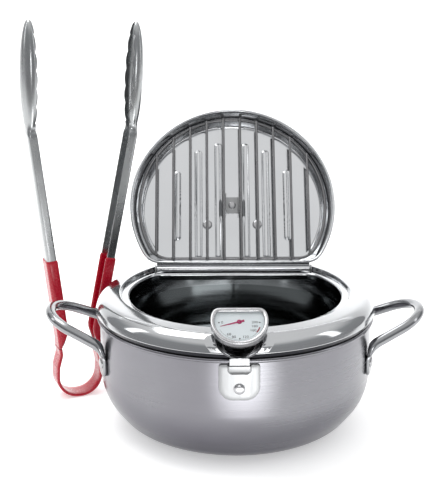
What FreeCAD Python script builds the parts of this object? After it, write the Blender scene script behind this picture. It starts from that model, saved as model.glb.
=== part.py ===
import FreeCAD, Part
import math
import os
import Sketcher
from FreeCAD import Placement, Rotation, Vector

# A stainless stovetop deep-frying pot with a splash collar, a hinged lid that carries
# a drain rack, a dial thermometer in a cup on the collar, and a pair of spring tongs.
# Origin: centre of the pot's base on the hob.  -Y is the front, +X the right, +Z up.

doc = FreeCAD.newDocument("StovetopDeepFryer")
sheet = doc.addObject("Spreadsheet::Sheet", "Sizes")

DRIVING_SIZES = (
    # pot
    ("pot_radius", "117.5", "outside of the pot wall"),
    ("pot_sheet", "1.0", "pot wall thickness"),
    ("pot_rim_height", "99", "height of the rolled rim's centre"),
    ("rim_bead_radius", "2", "rolled rim of the pot"),
    ("pot_turn_height", "34", "where the wall would meet the slanted lower wall"),
    ("pot_slant", "38", "lean of the slanted lower wall"),
    ("pot_shoulder_radius", "50", "bend from wall to slanted wall"),
    ("pot_foot_radius", "30", "bend from slanted wall to bottom"),
    ("base_inset", "42.5", "heat-spreading disc inside the pot's wall line"),
    ("base_radius", "=pot_radius - base_inset", "heat-spreading disc under the pot"),
    ("base_thickness", "3", "heat-spreading disc"),
    # loop handles
    ("handle_rod", "4", "radius of the handle rod"),
    ("handle_standout", "47.5", "handle beyond the pot's wall"),
    ("handle_rise", "3", "rod's centre above the rim at its furthest point"),
    ("handle_leave_drop", "17", "turn of the rod below the rim"),
    ("foot_drop", "43", "lower end of a foot below the rim"),
    ("foot_rivet_rise", "10.5", "rivet above the lower end of a foot"),
    ("handle_reach", "=pot_radius + handle_standout", "furthest point of a handle from the pot's axis"),
    ("handle_top", "=pot_rim_height + handle_rise", "height of the rod's centre at its furthest point"),
    ("handle_leave_height", "=pot_rim_height - handle_leave_drop", "height where the rod turns away from its foot"),
    ("handle_half_span", "37", "half the distance between the two feet"),
    ("handle_end_half_span", "24", "half the width of the outer end"),
    ("handle_end_bend", "20", "bend at each outer corner"),
    ("handle_foot_bend", "9", "bend above each foot"),
    ("rod_wall_gap", "0.4", "gap between the rod and the pot's wall"),
    ("foot_width", "14", "flattened foot of the rod"),
    ("foot_thickness", "3.2", "flattened foot of the rod"),
    ("foot_low", "=pot_rim_height - foot_drop", "lower end of a foot"),
    ("foot_rivet_height", "=foot_low + foot_rivet_rise", "rivet through a foot"),
    ("rivet_shank", "2.5", "radius of the rivet shanks"),
    ("rivet_head", "4.5", "radius of the rivet heads"),
    ("rivet_head_height", "1.8", "rivet head above its seat"),
    # catch on the front of the pot
    ("catch_width", "33", "catch plate"),
    ("catch_drop", "2.6", "upper edge of the catch plate below the rim"),
    ("catch_height", "30.4", "catch plate"),
    ("catch_rivet_rise", "10", "rivet above the plate's lower edge"),
    ("tongue_standoff", "4.5", "front of the tongue from the pot's wall"),
    ("tongue_hook", "3.9", "tongue below the top of the catch plate"),
    ("tongue_rise", "3.8", "upper end of the tongue above the rim"),
    ("catch_top", "=pot_rim_height - catch_drop", "upper edge of the catch plate"),
    ("catch_bottom", "=catch_top - catch_height", "lower edge of the catch plate"),
    ("catch_thickness", "1.5", "catch plate"),
    ("catch_rivet_height", "=catch_bottom + catch_rivet_rise", "rivet of the catch plate"),
    ("tongue_width", "16", "collar tongue"),
    ("tongue_thickness", "1", "collar tongue"),
    ("tongue_front", "=pot_radius + tongue_standoff", "front face of the collar tongue"),
    ("tongue_low", "=catch_top - tongue_hook", "lower end of the collar tongue"),
    ("tongue_high", "=pot_rim_height + tongue_rise", "upper end of the collar tongue, at the cup wall"),
    ("tongue_clearance", "0.3", "gap round the tongue in its slot"),
    ("catch_wall", "1", "wall round the tongue's slot"),
    # splash collar
    ("collar_sheet", "0.8", "collar sheet"),
    ("skirt_clearance", "1.8", "middle of the skirt sheet from the pot's inner wall"),
    ("skirt_depth", "11", "skirt below the rim"),
    ("shoulder_overhang", "1.1", "shoulder beyond the pot's wall"),
    ("edge_overhang", "3.1", "lowest outer edge beyond the pot's wall"),
    ("edge_rise", "6.6", "lowest outer edge above the rim"),
    ("dome_lean", "3.2", "dome's corner inside its lowest edge"),
    ("dome_rise", "18", "dome's corner above the rim"),
    ("dome_width", "17.9", "top edge of the dome inside the pot's wall line"),
    ("dome_crown", "2.6", "top edge above the dome's corner"),
    ("well_lean", "1.4", "well inside the top edge"),
    ("ledge_drop", "3.1", "ledge below the top edge"),
    ("ledge_width", "6.7", "ledge between well and opening"),
    ("skirt_radius", "=pot_radius - pot_sheet - skirt_clearance", "middle of the skirt sheet, inside the pot"),
    ("skirt_low", "=pot_rim_height - skirt_depth", "lower end of the skirt"),
    ("seat_gap", "0.3", "collar shoulder above the pot's rolled rim"),
    ("shoulder_radius", "=pot_radius + shoulder_overhang", "outer end of the shoulder over the rim"),
    ("collar_edge_radius", "=pot_radius + edge_overhang", "lowest outer edge of the dome"),
    ("collar_edge_height", "=pot_rim_height + edge_rise", "lowest outer edge of the dome"),
    ("dome_corner_radius", "=collar_edge_radius - dome_lean", "corner that the dome is rounded from"),
    ("dome_corner_height", "=pot_rim_height + dome_rise", "corner that the dome is rounded from"),
    ("dome_bend", "13", "rounding of the dome"),
    ("collar_top_radius", "=pot_radius - dome_width", "top edge of the dome"),
    ("collar_top_height", "=dome_corner_height + dome_crown", "top edge of the dome"),
    ("well_radius", "=collar_top_radius - well_lean", "wall of the well that the lid lies in"),
    ("ledge_top", "=collar_top_height - ledge_drop", "ledge and deck that carry the lid"),
    ("opening_radius", "=well_radius - ledge_width", "opening for the food"),
    ("opening_corner", "12", "corners of the opening"),
    ("lip_depth", "6", "turned-down lip round the opening"),
    # hinge
    ("hinge_inset", "36.2", "hinge axis inside the well's wall line"),
    ("hinge_rise", "3.2", "hinge axis above the ledge"),
    ("deck_width", "5", "deck between the opening and the hinge axis"),
    ("ear_clearance", "5.35", "hinge ear from the well's wall"),
    ("barrel_play", "0.5", "end play of the barrel"),
    ("hinge_setback", "=well_radius - hinge_inset", "hinge axis behind the pot's axis"),
    ("hinge_height", "=ledge_top + hinge_rise", "hinge axis above the hob"),
    ("opening_chord", "=hinge_setback - deck_width", "straight rear edge of the opening"),
    ("hinge_rod_radius", "1.5", "hinge rod"),
    ("hinge_running_fit", "0.05", "radial play of the rod in the barrel"),
    ("barrel_radius", "2.4", "hinge barrel of the lid"),
    ("ear_inner", "=sqrt(well_radius ^ 2 - hinge_setback ^ 2) - ear_clearance", "inner face of a hinge ear"),
    ("barrel_half_length", "=ear_inner - barrel_play", "hinge barrel of the lid"),
    ("ear_thickness", "1.2", "hinge ear"),
    ("ear_half_width", "3.4", "hinge ear"),
    # lid
    ("open_angle", "122", "lid opened from closed"),
    ("lid_clearance", "3.7", "centre line of the lid's edge from the well's wall line"),
    ("lid_lean", "10", "lid's top inside its edge"),
    ("lid_bead_circle", "=well_radius - lid_clearance", "centre line of the lid's rolled edge"),
    ("lid_bead_radius", "1.5", "rolled edge of the lid"),
    ("lid_bead_drop", "1.4", "rolled edge below the hinge axis"),
    ("lid_chord", "6", "straight edge of the lid from the hinge axis"),
    ("lid_corner", "18", "corners of the lid's edge"),
    ("lid_sheet", "0.8", "lid sheet"),
    ("lid_depth", "15", "top of the lid above the hinge axis"),
    ("lid_top_circle", "=lid_bead_circle - lid_lean", "radius of the lid's top"),
    ("lid_top_chord", "6.9", "straight edge of the lid's top from the hinge axis"),
    ("lid_top_corner", "22", "corners of the lid's top"),
    ("lid_top_bend", "5", "bend between the lid's wall and top"),
    ("rib_half_width", "2", "pressed ribs of the lid"),
    ("rib_height", "1.1", "pressed ribs of the lid"),
    ("rib_inner_offset", "13.3", "ribs beside the middle"),
    ("rib_middle_offset", "31.8", "next ribs"),
    ("rib_outer_offset", "51.5", "outer ribs"),
    ("rib_reach", "50", "inner and middle ribs in front of the pot's axis"),
    ("rib_outer_reach", "30", "outer ribs in front of the pot's axis"),
    ("rib_outer_back", "24", "outer ribs behind the pot's axis"),
    ("rib_start", "17", "hinge end of the inner and middle ribs"),
    ("rib_end", "=hinge_setback + rib_reach", "far end of the inner and middle ribs"),
    ("rib_outer_start", "=hinge_setback - rib_outer_back", "hinge end of the outer ribs"),
    ("rib_outer_end", "=hinge_setback + rib_outer_reach", "far end of the outer ribs"),
    ("lid_handle_back", "15", "lid handle behind the middle of the lid"),
    ("lid_handle_distance", "=hinge_setback - lid_handle_back", "lid handle from the hinge axis"),
    ("lid_handle_half_span", "23.5", "feet of the lid handle"),
    ("lid_handle_height", "24", "lid handle above the lid's top"),
    ("lid_handle_rod", "3", "radius of the lid handle's rod"),
    ("lid_handle_bend", "10", "bends of the lid handle"),
    ("lid_foot_radius", "6", "feet of the lid handle"),
    ("lid_foot_thickness", "1.5", "feet of the lid handle"),
    # drain rack
    ("rack_clearance", "7.5", "rack frame inside the lid's edge"),
    ("wire_divisions", "11", "spaces between wires across the rack's full width"),
    ("clip_forward", "4", "rack clip in front of the pot's axis"),
    ("rack_circle", "=lid_bead_circle - rack_clearance", "centre line of the rack frame"),
    ("rack_chord", "11", "straight wire of the rack frame from the hinge axis"),
    ("rack_corner", "20", "corners of the rack frame"),
    ("rack_level", "4", "rack frame above the hinge axis with the lid closed"),
    ("frame_wire", "1.5", "radius of the frame wire"),
    ("grid_wire", "1.2", "radius of the grid wires"),
    ("weld_sink", "0.3", "depth of the resistance welds"),
    ("wire_spacing", "=2 * rack_circle / wire_divisions", "grid wires from centre to centre"),
    ("wire_overhang", "1.8", "grid wires past the frame wire's centre"),
    ("clip_distance", "=hinge_setback + clip_forward", "rack clip from the hinge axis"),
    ("clip_length", "16", "rack clip"),
    ("clip_sheet", "0.8", "rack clip"),
    ("clip_grip_gap", "0.2", "rack clip from the two middle wires"),
    ("unclip_travel", "12", "rack pulled off its clip"),
    # thermometer
    ("cup_inset", "5.5", "mouth centre inside the pot's wall line"),
    ("cup_forward", "=pot_radius - cup_inset", "mouth centre in front of the pot's axis"),
    ("cup_drop", "0.3", "mouth centre below the ledge"),
    ("cup_height", "=ledge_top - cup_drop", "mouth centre above the hob"),
    ("dial_shift", "0.4", "dial centre in front of the mouth centre"),
    ("dial_standoff", "14.8", "dial centre above the mouth centre"),
    ("dial_forward", "=cup_forward + dial_shift", "dial centre in front of the pot's axis"),
    ("dial_height", "=cup_height + dial_standoff", "dial centre above the hob"),
    ("dial_elevation", "55", "direction that the dial faces, from level"),
    ("case_radius", "22.5", "thermometer case"),
    ("case_flat", "11.8", "flat side of the case from its centre"),
    ("case_corner", "7", "corners of the case"),
    ("case_depth", "8", "thermometer case"),
    ("case_wall", "1", "thermometer case"),
    ("bezel_width", "3.2", "face of the bezel"),
    ("bezel_thickness", "1.4", "bezel"),
    ("glass_thickness", "0.8", "dial glass"),
    ("dial_level", "3.2", "dial plate below the front of the bezel"),
    ("dial_thickness", "0.5", "dial plate"),
    ("stem_radius", "1.8", "probe stem"),
    ("stem_length", "92", "probe stem below the case"),
    ("stem_fit", "0.05", "radial play of the stem in its guide hole"),
    ("stem_wall", "0.4", "wall of the hollow stem"),
    ("ferrule_radius", "2.6", "ferrule between case and cup"),
    ("coil_radius", "1", "bimetal coil in the stem"),
    ("coil_wire", "0.25", "bimetal coil in the stem"),
    ("coil_pitch", "1.6", "bimetal coil in the stem"),
    ("coil_length", "16", "bimetal coil in the stem"),
    ("needle_length", "15.5", "needle from shaft to tip"),
    ("needle_tail", "4", "needle behind the shaft"),
    ("needle_width", "1.2", "needle"),
    ("needle_thickness", "0.3", "needle"),
    ("needle_rest", "196", "needle at rest, from the right-hand side"),
    ("shaft_radius", "0.6", "needle shaft"),
    ("hub_radius", "2", "needle hub"),
    # cup for the thermometer
    ("cup_radius", "19.8", "outside of the cup's mouth"),
    ("cup_floor_radius", "13.8", "outside of the cup's floor"),
    ("cup_depth", "8.3", "cup"),
    ("flare_radius", "27.5", "flared boss of the collar round the cup"),
    ("flare_depth", "7", "flared boss of the collar round the cup"),
    ("flare_overhang", "4.5", "flared boss beyond the pot's wall"),
    ("flare_reach", "=pot_radius + flare_overhang", "furthest point of the flared boss from the pot's axis"),
    # tongs
    ("tongs_standoff", "28.5", "loop centre beyond the pot's wall line"),
    ("tongs_left", "=pot_radius + tongs_standoff", "loop centre left of the pot's axis"),
    ("tongs_back", "57", "loop centre behind the pot's axis"),
    ("tongs_turn", "21.5", "turn of the tongs about the vertical"),
    ("tongs_lean", "2.9", "lean of the tongs to the right"),
    ("strip_width", "18", "steel strip of the tongs"),
    ("strip_sheet", "0.9", "steel strip of the tongs"),
    ("loop_half_width", "20.3", "loop of the strip"),
    ("loop_drop", "20.3", "loop centre above the lowest strip centre"),
    ("loop_bend", "19", "bottom bends of the loop"),
    ("waist_half_width", "17.5", "waist above the loop"),
    ("waist_height", "20", "waist above the loop centre"),
    ("loop_top_bend", "8", "upper bends of the loop"),
    ("pivot_height", "34", "where the arms flex, above the loop centre"),
    ("pivot_round", "5", "rounded end of an arm about its pivot"),
    ("pivot_gap", "0.6", "loop end from the arm's rounded end"),
    ("arm_splay", "9.1", "arm from the tongs' centre line"),
    ("arm_length", "203", "pivot to the start of the head"),
    ("flange_depth", "7.6", "flanges of the channel-shaped arm"),
    ("channel_bend", "2", "bends of the channel"),
    ("grip_length", "82", "vinyl on an arm above its pivot"),
    ("vinyl_thickness", "1", "vinyl grip"),
    ("head_length", "101", "gripping head"),
    ("head_width", "26", "gripping head"),
    ("head_bulge", "8.5", "gripping head"),
    ("head_inset", "4.2", "widest part of the head inside the arm's outer face"),
    ("head_tilt", "7.7", "head bent back towards the other arm"),
    ("head_sheet", "1", "gripping head"),
    ("scallop_radius", "9.5", "lobes of the head's edge"),
    ("scallop_reach", "4.4", "lobes of the head's edge"),
    ("head_overlap", "12", "head over the end of the arm"),
)
SCALLOPS = 5
GRID_WIRES = 10

for row, (alias, value, meaning) in enumerate(DRIVING_SIZES, start=1):
    sheet.set("A%d" % row, meaning)
    sheet.set("B%d" % row, value)
    sheet.setAlias("B%d" % row, alias)
doc.recompute()


class Size:
    """A length or angle: its number, and the spreadsheet formula that it comes from."""

    def __init__(self, number, formula):
        self.number = number
        self.formula = formula

    def __add__(self, other):
        return Size(self.number + number(other), "(%s + %s)" % (self.formula, formula(other)))

    def __radd__(self, other):
        return Size(number(other) + self.number, "(%s + %s)" % (formula(other), self.formula))

    def __sub__(self, other):
        return Size(self.number - number(other), "(%s - %s)" % (self.formula, formula(other)))

    def __rsub__(self, other):
        return Size(number(other) - self.number, "(%s - %s)" % (formula(other), self.formula))

    def __mul__(self, other):
        return Size(self.number * number(other), "(%s * %s)" % (self.formula, formula(other)))

    __rmul__ = __mul__

    def __truediv__(self, other):
        return Size(self.number / number(other), "(%s / %s)" % (self.formula, formula(other)))

    def __neg__(self):
        return Size(-self.number, "(0 - %s)" % self.formula)


def number(value):
    return value.number if isinstance(value, Size) else float(value)


def formula(value):
    return value.formula if isinstance(value, Size) else repr(float(value))


def size(alias):
    return Size(float(sheet.get(alias)), "Sizes." + alias)


def sine(angle):
    return Size(math.sin(math.radians(number(angle))), "sin(%s)" % formula(angle))


def cosine(angle):
    return Size(math.cos(math.radians(number(angle))), "cos(%s)" % formula(angle))


def tangent(angle):
    return Size(math.tan(math.radians(number(angle))), "tan(%s)" % formula(angle))


def bind(thing, **sizes):
    """Binds properties of an object to the spreadsheet."""
    for name, value in sizes.items():
        thing.setExpression(name, formula(value))
    return thing


# ---------------------------------------------------------------- ways of making a piece

nodes = []


def keep(label, thing):
    """Names a finished sub-part."""
    thing.Label = label
    nodes.append(thing)
    return thing


def draw(sketch, corners, closed=True):
    """Draws straight runs from corner to corner. A third value rounds that corner."""
    count = len(corners)
    spots = [Vector(number(corner[0]), number(corner[1]), 0) for corner in corners]
    arrive, leave = list(spots), list(spots)
    for i in range(count):
        if len(corners[i]) < 3:
            continue
        back = (spots[i - 1] - spots[i]).normalize()
        ahead = (spots[(i + 1) % count] - spots[i]).normalize()
        half_turn = (math.pi - back.getAngle(ahead)) / 2
        setback = number(corners[i][2]) * math.tan(half_turn)
        arrive[i] = spots[i] + back * setback
        leave[i] = spots[i] + ahead * setback
    runs = count if closed else count - 1
    lines = []
    for i in range(runs):
        line = Part.LineSegment(leave[i], arrive[(i + 1) % count])
        lines.append(sketch.addGeometry(line, False))

    def pin(geometry, end, corner):
        for kind, value in (("DistanceX", corner[0]), ("DistanceY", corner[1])):
            index = sketch.addConstraint(
                Sketcher.Constraint(kind, -1, 1, geometry, end, number(value)))
            sketch.setExpression("Constraints[%d]" % index, formula(value))

    for i in range(count):
        first, last = (not closed and i == 0), (not closed and i == count - 1)
        if first:
            pin(lines[0], 1, corners[0])
            continue
        if last:
            pin(lines[-1], 2, corners[-1])
            continue
        before, after = lines[i - 1], lines[i]
        if len(corners[i]) < 3:
            sketch.addConstraint(Sketcher.Constraint("Coincident", before, 2, after, 1))
            pin(after, 1, corners[i])
            continue
        back = (spots[i - 1] - spots[i]).normalize()
        ahead = (spots[(i + 1) % count] - spots[i]).normalize()
        middle = (back + ahead).normalize()
        radius = number(corners[i][2])
        centre = spots[i] + middle * (radius / math.sin(back.getAngle(ahead) / 2))
        left_turn = back.cross(ahead).z < 0
        start, end = (arrive[i], leave[i]) if left_turn else (leave[i], arrive[i])
        circle = Part.Circle(centre, Vector(0, 0, 1), radius)
        angles = [math.atan2(spot.y - centre.y, spot.x - centre.x) for spot in (start, end)]
        if angles[1] < angles[0]:
            angles[1] += 2 * math.pi
        arc = sketch.addGeometry(Part.ArcOfCircle(circle, angles[0], angles[1]), False)
        corner = sketch.addGeometry(Part.Point(spots[i]), True)
        pin(corner, 1, corners[i])
        sketch.addConstraint(Sketcher.Constraint("PointOnObject", corner, 1, before))
        sketch.addConstraint(Sketcher.Constraint("PointOnObject", corner, 1, after))
        entry, exit_end = (1, 2) if left_turn else (2, 1)
        sketch.addConstraint(Sketcher.Constraint("Tangent", before, 2, arc, entry))
        sketch.addConstraint(Sketcher.Constraint("Tangent", after, 1, arc, exit_end))
        index = sketch.addConstraint(Sketcher.Constraint("Radius", arc, radius))
        sketch.setExpression("Constraints[%d]" % index, formula(corners[i][2]))
    return sketch


def draw_circle(sketch, x, y, radius):
    """Draws a circle with its centre and radius bound to the spreadsheet."""
    centre = Vector(number(x), number(y), 0)
    circle = sketch.addGeometry(Part.Circle(centre, Vector(0, 0, 1), number(radius)), False)
    for kind, value in (("DistanceX", x), ("DistanceY", y)):
        index = sketch.addConstraint(
            Sketcher.Constraint(kind, -1, 1, circle, 3, number(value)))
        sketch.setExpression("Constraints[%d]" % index, formula(value))
    index = sketch.addConstraint(Sketcher.Constraint("Radius", circle, number(radius)))
    sketch.setExpression("Constraints[%d]" % index, formula(radius))
    return sketch


def new_body(name):
    return doc.addObject("PartDesign::Body", name)


def sketch_on(body, name, role, height=0):
    """A sketch on one of the body's own origin planes, or parallel to it."""
    sketch = body.newObject("Sketcher::SketchObject", name)
    plane = [item for item in body.Origin.OriginFeatures if item.Role == role][0]
    sketch.AttachmentSupport = (plane, [""])
    sketch.MapMode = "FlatFace"
    sketch.setExpression("AttachmentOffset.Base.z", formula(height))
    return sketch


def revolve(body, name, corners):
    """Turns a section, drawn as radius and height, about the body's Z axis."""
    sketch = draw(sketch_on(body, name + "_section", "XZ_Plane"), corners)
    feature = body.newObject("PartDesign::Revolution", name)
    feature.Profile = sketch
    feature.ReferenceAxis = (sketch, ["V_Axis"])
    feature.Angle = 360
    sketch.Visibility = False
    return feature


def groove(body, name, corners):
    """Turns a section about the body's Z axis and takes it away."""
    sketch = draw(sketch_on(body, name + "_section", "XZ_Plane"), corners)
    feature = body.newObject("PartDesign::Groove", name)
    feature.Profile = sketch
    feature.ReferenceAxis = (sketch, ["V_Axis"])
    feature.Angle = 360
    return feature


def pad(body, name, corners, low, height, role="XY_Plane"):
    """Raises an outline from a level by a height."""
    sketch = draw(sketch_on(body, name + "_outline", role, low), corners)
    feature = body.newObject("PartDesign::Pad", name)
    feature.Profile = sketch
    bind(feature, Length=height)
    return feature


def round_pocket(body, name, x, y, radius, top, depth):
    """Bores a round hole down from a level by a depth."""
    sketch = draw_circle(sketch_on(body, name + "_outline", "XY_Plane", top), x, y, radius)
    feature = body.newObject("PartDesign::Pocket", name)
    feature.Profile = sketch
    bind(feature, Length=depth)
    return feature


def round_pad(body, name, x, y, radius, low, height):
    """Raises a round boss from a level by a height."""
    sketch = draw_circle(sketch_on(body, name + "_outline", "XY_Plane", low), x, y, radius)
    feature = body.newObject("PartDesign::Pad", name)
    feature.Profile = sketch
    bind(feature, Length=height)
    return feature


def loose_sketch(name, corners, closed=True, upright=False, low=0):
    """A sketch for the Part workbench, level or standing in the XZ plane."""
    sketch = draw(doc.addObject("Sketcher::SketchObject", name), corners, closed)
    if upright:
        sketch.Placement = Placement(Vector(0, 0, 0), Rotation(Vector(1, 0, 0), 90))
        bind(sketch, **{"Placement.Base.y": low})
    else:
        bind(sketch, **{"Placement.Base.z": low})
    return sketch


def sheet_band(name, path, thickness, low=0, upright=True):
    """The section of a bent sheet: its middle line thickened both ways."""
    line = loose_sketch(name + "_line", path, False, upright, low)
    band = doc.addObject("Part::Offset2D", name + "_band")
    band.Source = line
    band.Fill = True
    bind(band, Value=thickness / 2)
    return band


def revolved_sheet(name, path, thickness):
    """A bent sheet turned about the Z axis."""
    turned = doc.addObject("Part::Revolution", name)
    turned.Source = sheet_band(name, path, thickness)
    turned.Axis = Vector(0, 0, 1)
    turned.Angle = 360
    turned.Solid = True
    return turned


def extrude(name, source, length, direction=Vector(0, 0, 1)):
    """A sketch or band drawn out along a direction."""
    drawn = doc.addObject("Part::Extrusion", name)
    drawn.Base = source
    drawn.DirMode = "Custom"
    drawn.Dir = direction
    drawn.Solid = True
    drawn.FaceMakerClass = "Part::FaceMakerBullseye"
    bind(drawn, LengthFwd=length)
    return drawn


def box(name, x, y, z, length, width, height):
    """A box with its low corner at x, y, z."""
    block = doc.addObject("Part::Box", name)
    bind(block, Length=length, Width=width, Height=height)
    return move(block, x, y, z)


def cylinder(name, x, y, z, radius, height):
    rod = doc.addObject("Part::Cylinder", name)
    bind(rod, Radius=radius, Height=height)
    return move(rod, x, y, z)


def move(thing, x, y, z):
    return bind(thing, **{"Placement.Base.x": x, "Placement.Base.y": y, "Placement.Base.z": z})


def fuse(name, *pieces):
    joined = doc.addObject("Part::MultiFuse", name)
    joined.Shapes = list(pieces)
    return joined


def cut(name, base, tool):
    rest = doc.addObject("Part::Cut", name)
    rest.Base = base
    rest.Tool = tool
    return rest


def common(name, base, tool):
    shared = doc.addObject("Part::Common", name)
    shared.Base = base
    shared.Tool = tool
    return shared


def group(name, pieces):
    """Like pieces that share one node."""
    together = doc.addObject("Part::Compound", name)
    together.Links = list(pieces)
    return together


def bent_rod(name, spots, bends, radius):
    """A round rod along straight runs with a rounded bend at each inner corner."""
    spots = [Vector(*[number(value) for value in spot]) for spot in spots]
    edges = []
    here = spots[0]
    for i in range(1, len(spots) - 1):
        back = (spots[i - 1] - spots[i]).normalize()
        ahead = (spots[i + 1] - spots[i]).normalize()
        opening = back.getAngle(ahead)
        setback = number(bends[i - 1]) / math.tan(opening / 2)
        middle = (back + ahead).normalize()
        depth = number(bends[i - 1]) * (1 / math.sin(opening / 2) - 1)
        start, end = spots[i] + back * setback, spots[i] + ahead * setback
        edges.append(Part.LineSegment(here, start).toShape())
        edges.append(Part.Arc(start, spots[i] + middle * depth, end).toShape())
        here = end
    edges.append(Part.LineSegment(here, spots[-1]).toShape())
    route = Part.Wire(edges)
    ring = Part.Wire([Part.Circle(spots[0], spots[1] - spots[0], number(radius)).toShape()])
    rod = doc.addObject("Part::Feature", name)
    rod.Shape = route.makePipeShell([ring], True, True)
    return rod


def rivet(name, radius_from_axis, azimuth, height, grip):
    """A domed rivet, driven radially into the pot's wall."""
    shank = cylinder(name + "_shank", 0, 0, -grip, size("rivet_shank"), grip)
    head = doc.addObject("Part::Cone", name + "_head")
    bind(head, Radius1=size("rivet_head"), Radius2=size("rivet_head") / 2,
         Height=size("rivet_head_height"))
    tail = cylinder(name + "_tail", 0, 0, -grip - size("rivet_head_height") / 2,
                    size("rivet_head"), size("rivet_head_height") / 2)
    whole = fuse(name, shank, head, tail)
    outward = Rotation(Vector(0, 0, 1), number(azimuth)) * Rotation(Vector(0, 1, 0), 90)
    direction = Rotation(Vector(0, 0, 1), number(azimuth)).multVec(Vector(1, 0, 0))
    whole.Placement = Placement(direction * number(radius_from_axis), outward)
    bind(whole, **{"Placement.Base.z": height,
                   "Placement.Base.x": radius_from_axis * cosine(azimuth),
                   "Placement.Base.y": radius_from_axis * sine(azimuth)})
    return whole


# ---------------------------------------------------------------- pot

pot_radius = size("pot_radius")
pot_sheet = size("pot_sheet")
rim_height = size("pot_rim_height")
bead = size("rim_bead_radius")
base_thickness = size("base_thickness")
pot_slant = size("pot_slant")


def pot_section(inset):
    """The pot's outside when inset is 0, and the same outline moved inwards otherwise."""
    turn_height = size("pot_turn_height")
    reach = (turn_height - base_thickness) * tangent(pot_slant)
    return [
        (0, base_thickness + inset),
        (pot_radius - reach - inset * tangent((90 - pot_slant) / 2),
         base_thickness + inset, size("pot_foot_radius") - inset),
        (pot_radius - inset, turn_height + inset * tangent(pot_slant / 2),
         size("pot_shoulder_radius") - inset),
        (pot_radius - inset, rim_height),
        (0, rim_height),
    ]


pot = new_body("PotBody")
revolve(pot, "PotOutside", pot_section(0))
groove(pot, "PotInside", pot_section(pot_sheet))
rim_sketch = draw_circle(sketch_on(pot, "PotRim_section", "XZ_Plane"),
                         pot_radius + bead / 4, rim_height, bead)
pot_rim = pot.newObject("PartDesign::Revolution", "PotRim")
pot_rim.Profile = rim_sketch
pot_rim.ReferenceAxis = (rim_sketch, ["V_Axis"])
pot_rim.Angle = 360
keep("pot_body", pot)

base = new_body("BaseDisc")
revolve(base, "BaseDiscTurned", [
    (0, 0),
    (size("base_radius") - base_thickness / 3, 0),
    (size("base_radius"), base_thickness / 3),
    (size("base_radius"), base_thickness),
    (0, base_thickness),
])
keep("base_disc", base)

# ---------------------------------------------------------------- loop handles

foot_azimuth = Size(
    math.degrees(math.asin(number(size("handle_half_span")) / number(pot_radius))),
    "(asin(Sizes.handle_half_span / Sizes.pot_radius) / 1 deg)")


def loop_handle(label, side):
    """A bent rod whose two flattened ends are riveted to the wall."""
    rod_radius = size("handle_rod")
    rod_line = pot_radius + rod_radius + size("rod_wall_gap")
    foot_x = rod_line * cosine(foot_azimuth)
    half_span = rod_line * sine(foot_azimuth)
    top = size("handle_top")
    leave = size("handle_leave_height")
    start_low = leave - size("handle_foot_bend")
    reach = size("handle_reach") - rod_radius
    end_half = size("handle_end_half_span")
    spots = [
        (side * foot_x, -half_span, start_low),
        (side * foot_x, -half_span, leave),
        (side * reach, -end_half, top),
        (side * reach, end_half, top),
        (side * foot_x, half_span, leave),
        (side * foot_x, half_span, start_low),
    ]
    bends = [size("handle_foot_bend"), size("handle_end_bend"),
             size("handle_end_bend"), size("handle_foot_bend")]
    pieces = [bent_rod(label + "_rod", spots, bends, rod_radius)]
    for end, name in ((-1, "front"), (1, "rear")):
        foot = box(label + "_" + name + "_foot", 0, 0, 0,
                   size("foot_thickness") + size("rod_wall_gap"),
                   size("foot_width"), leave - size("foot_low"))
        azimuth = end * foot_azimuth if side > 0 else 180 - end * foot_azimuth
        foot.Placement = Placement(Vector(0, 0, 0), Rotation(Vector(0, 0, 1), number(azimuth)))
        half = size("foot_width") / 2
        inner = pot_radius - size("rod_wall_gap")
        move(foot, inner * cosine(azimuth) + half * sine(azimuth),
             inner * sine(azimuth) - half * cosine(azimuth), size("foot_low"))
        wall = cylinder(label + "_" + name + "_wall", 0, 0, 0, pot_radius, rim_height)
        pieces.append(cut(label + "_" + name + "_pad", foot, wall))
    return keep(label, fuse(label + "_piece", *pieces))


left_handle = loop_handle("left_handle", -1)
right_handle = loop_handle("right_handle", 1)

wall_grip = size("foot_thickness") + pot_sheet
handle_rivets = []
for azimuth in (foot_azimuth, -foot_azimuth, 180 - foot_azimuth, 180 + foot_azimuth):
    handle_rivets.append(rivet("HandleRivet%d" % len(handle_rivets),
                               pot_radius + size("foot_thickness"), azimuth,
                               size("foot_rivet_height"), wall_grip))
keep("handle_rivets", group("HandleRivets", handle_rivets))

# ---------------------------------------------------------------- catch

catch_width = size("catch_width")
catch_top = size("catch_top")
catch_height = catch_top - size("catch_bottom")
tongue_front = size("tongue_front")
tongue_back = tongue_front - size("tongue_thickness")
slot_gap = size("tongue_clearance")
slot_half = size("tongue_width") / 2 + slot_gap
catch_wall = size("catch_wall")
pocket_front = tongue_front + slot_gap + catch_wall
pocket_half = slot_half + catch_wall
pocket_low = size("tongue_low") - slot_gap - catch_wall

catch_ring = cut("CatchRing",
                 cylinder("CatchOuter", 0, 0, size("catch_bottom"),
                          pot_radius + size("catch_thickness"), catch_height),
                 cylinder("CatchInner", 0, 0, size("catch_bottom"), pot_radius, catch_height))
small_corner = catch_width / 15
large_corner = catch_width / 3
catch_outline = loose_sketch("CatchOutline", [
    (-catch_width / 2, size("catch_bottom"), large_corner),
    (catch_width / 2, size("catch_bottom"), large_corner),
    (catch_width / 2, catch_top, small_corner),
    (-catch_width / 2, catch_top, small_corner),
], upright=True)
catch_blank = extrude("CatchBlank", catch_outline, pocket_front, Vector(0, -1, 0))
catch_sheet = common("CatchSheet", catch_ring, catch_blank)
catch_block = cut("CatchBlock",
                  box("CatchPocket", -pocket_half, -pocket_front, pocket_low,
                      2 * pocket_half, pocket_front - pot_radius * cosine(foot_azimuth / 4),
                      catch_top - pocket_low),
                  cylinder("CatchWall", 0, 0, size("catch_bottom"), pot_radius, catch_height))
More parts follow.
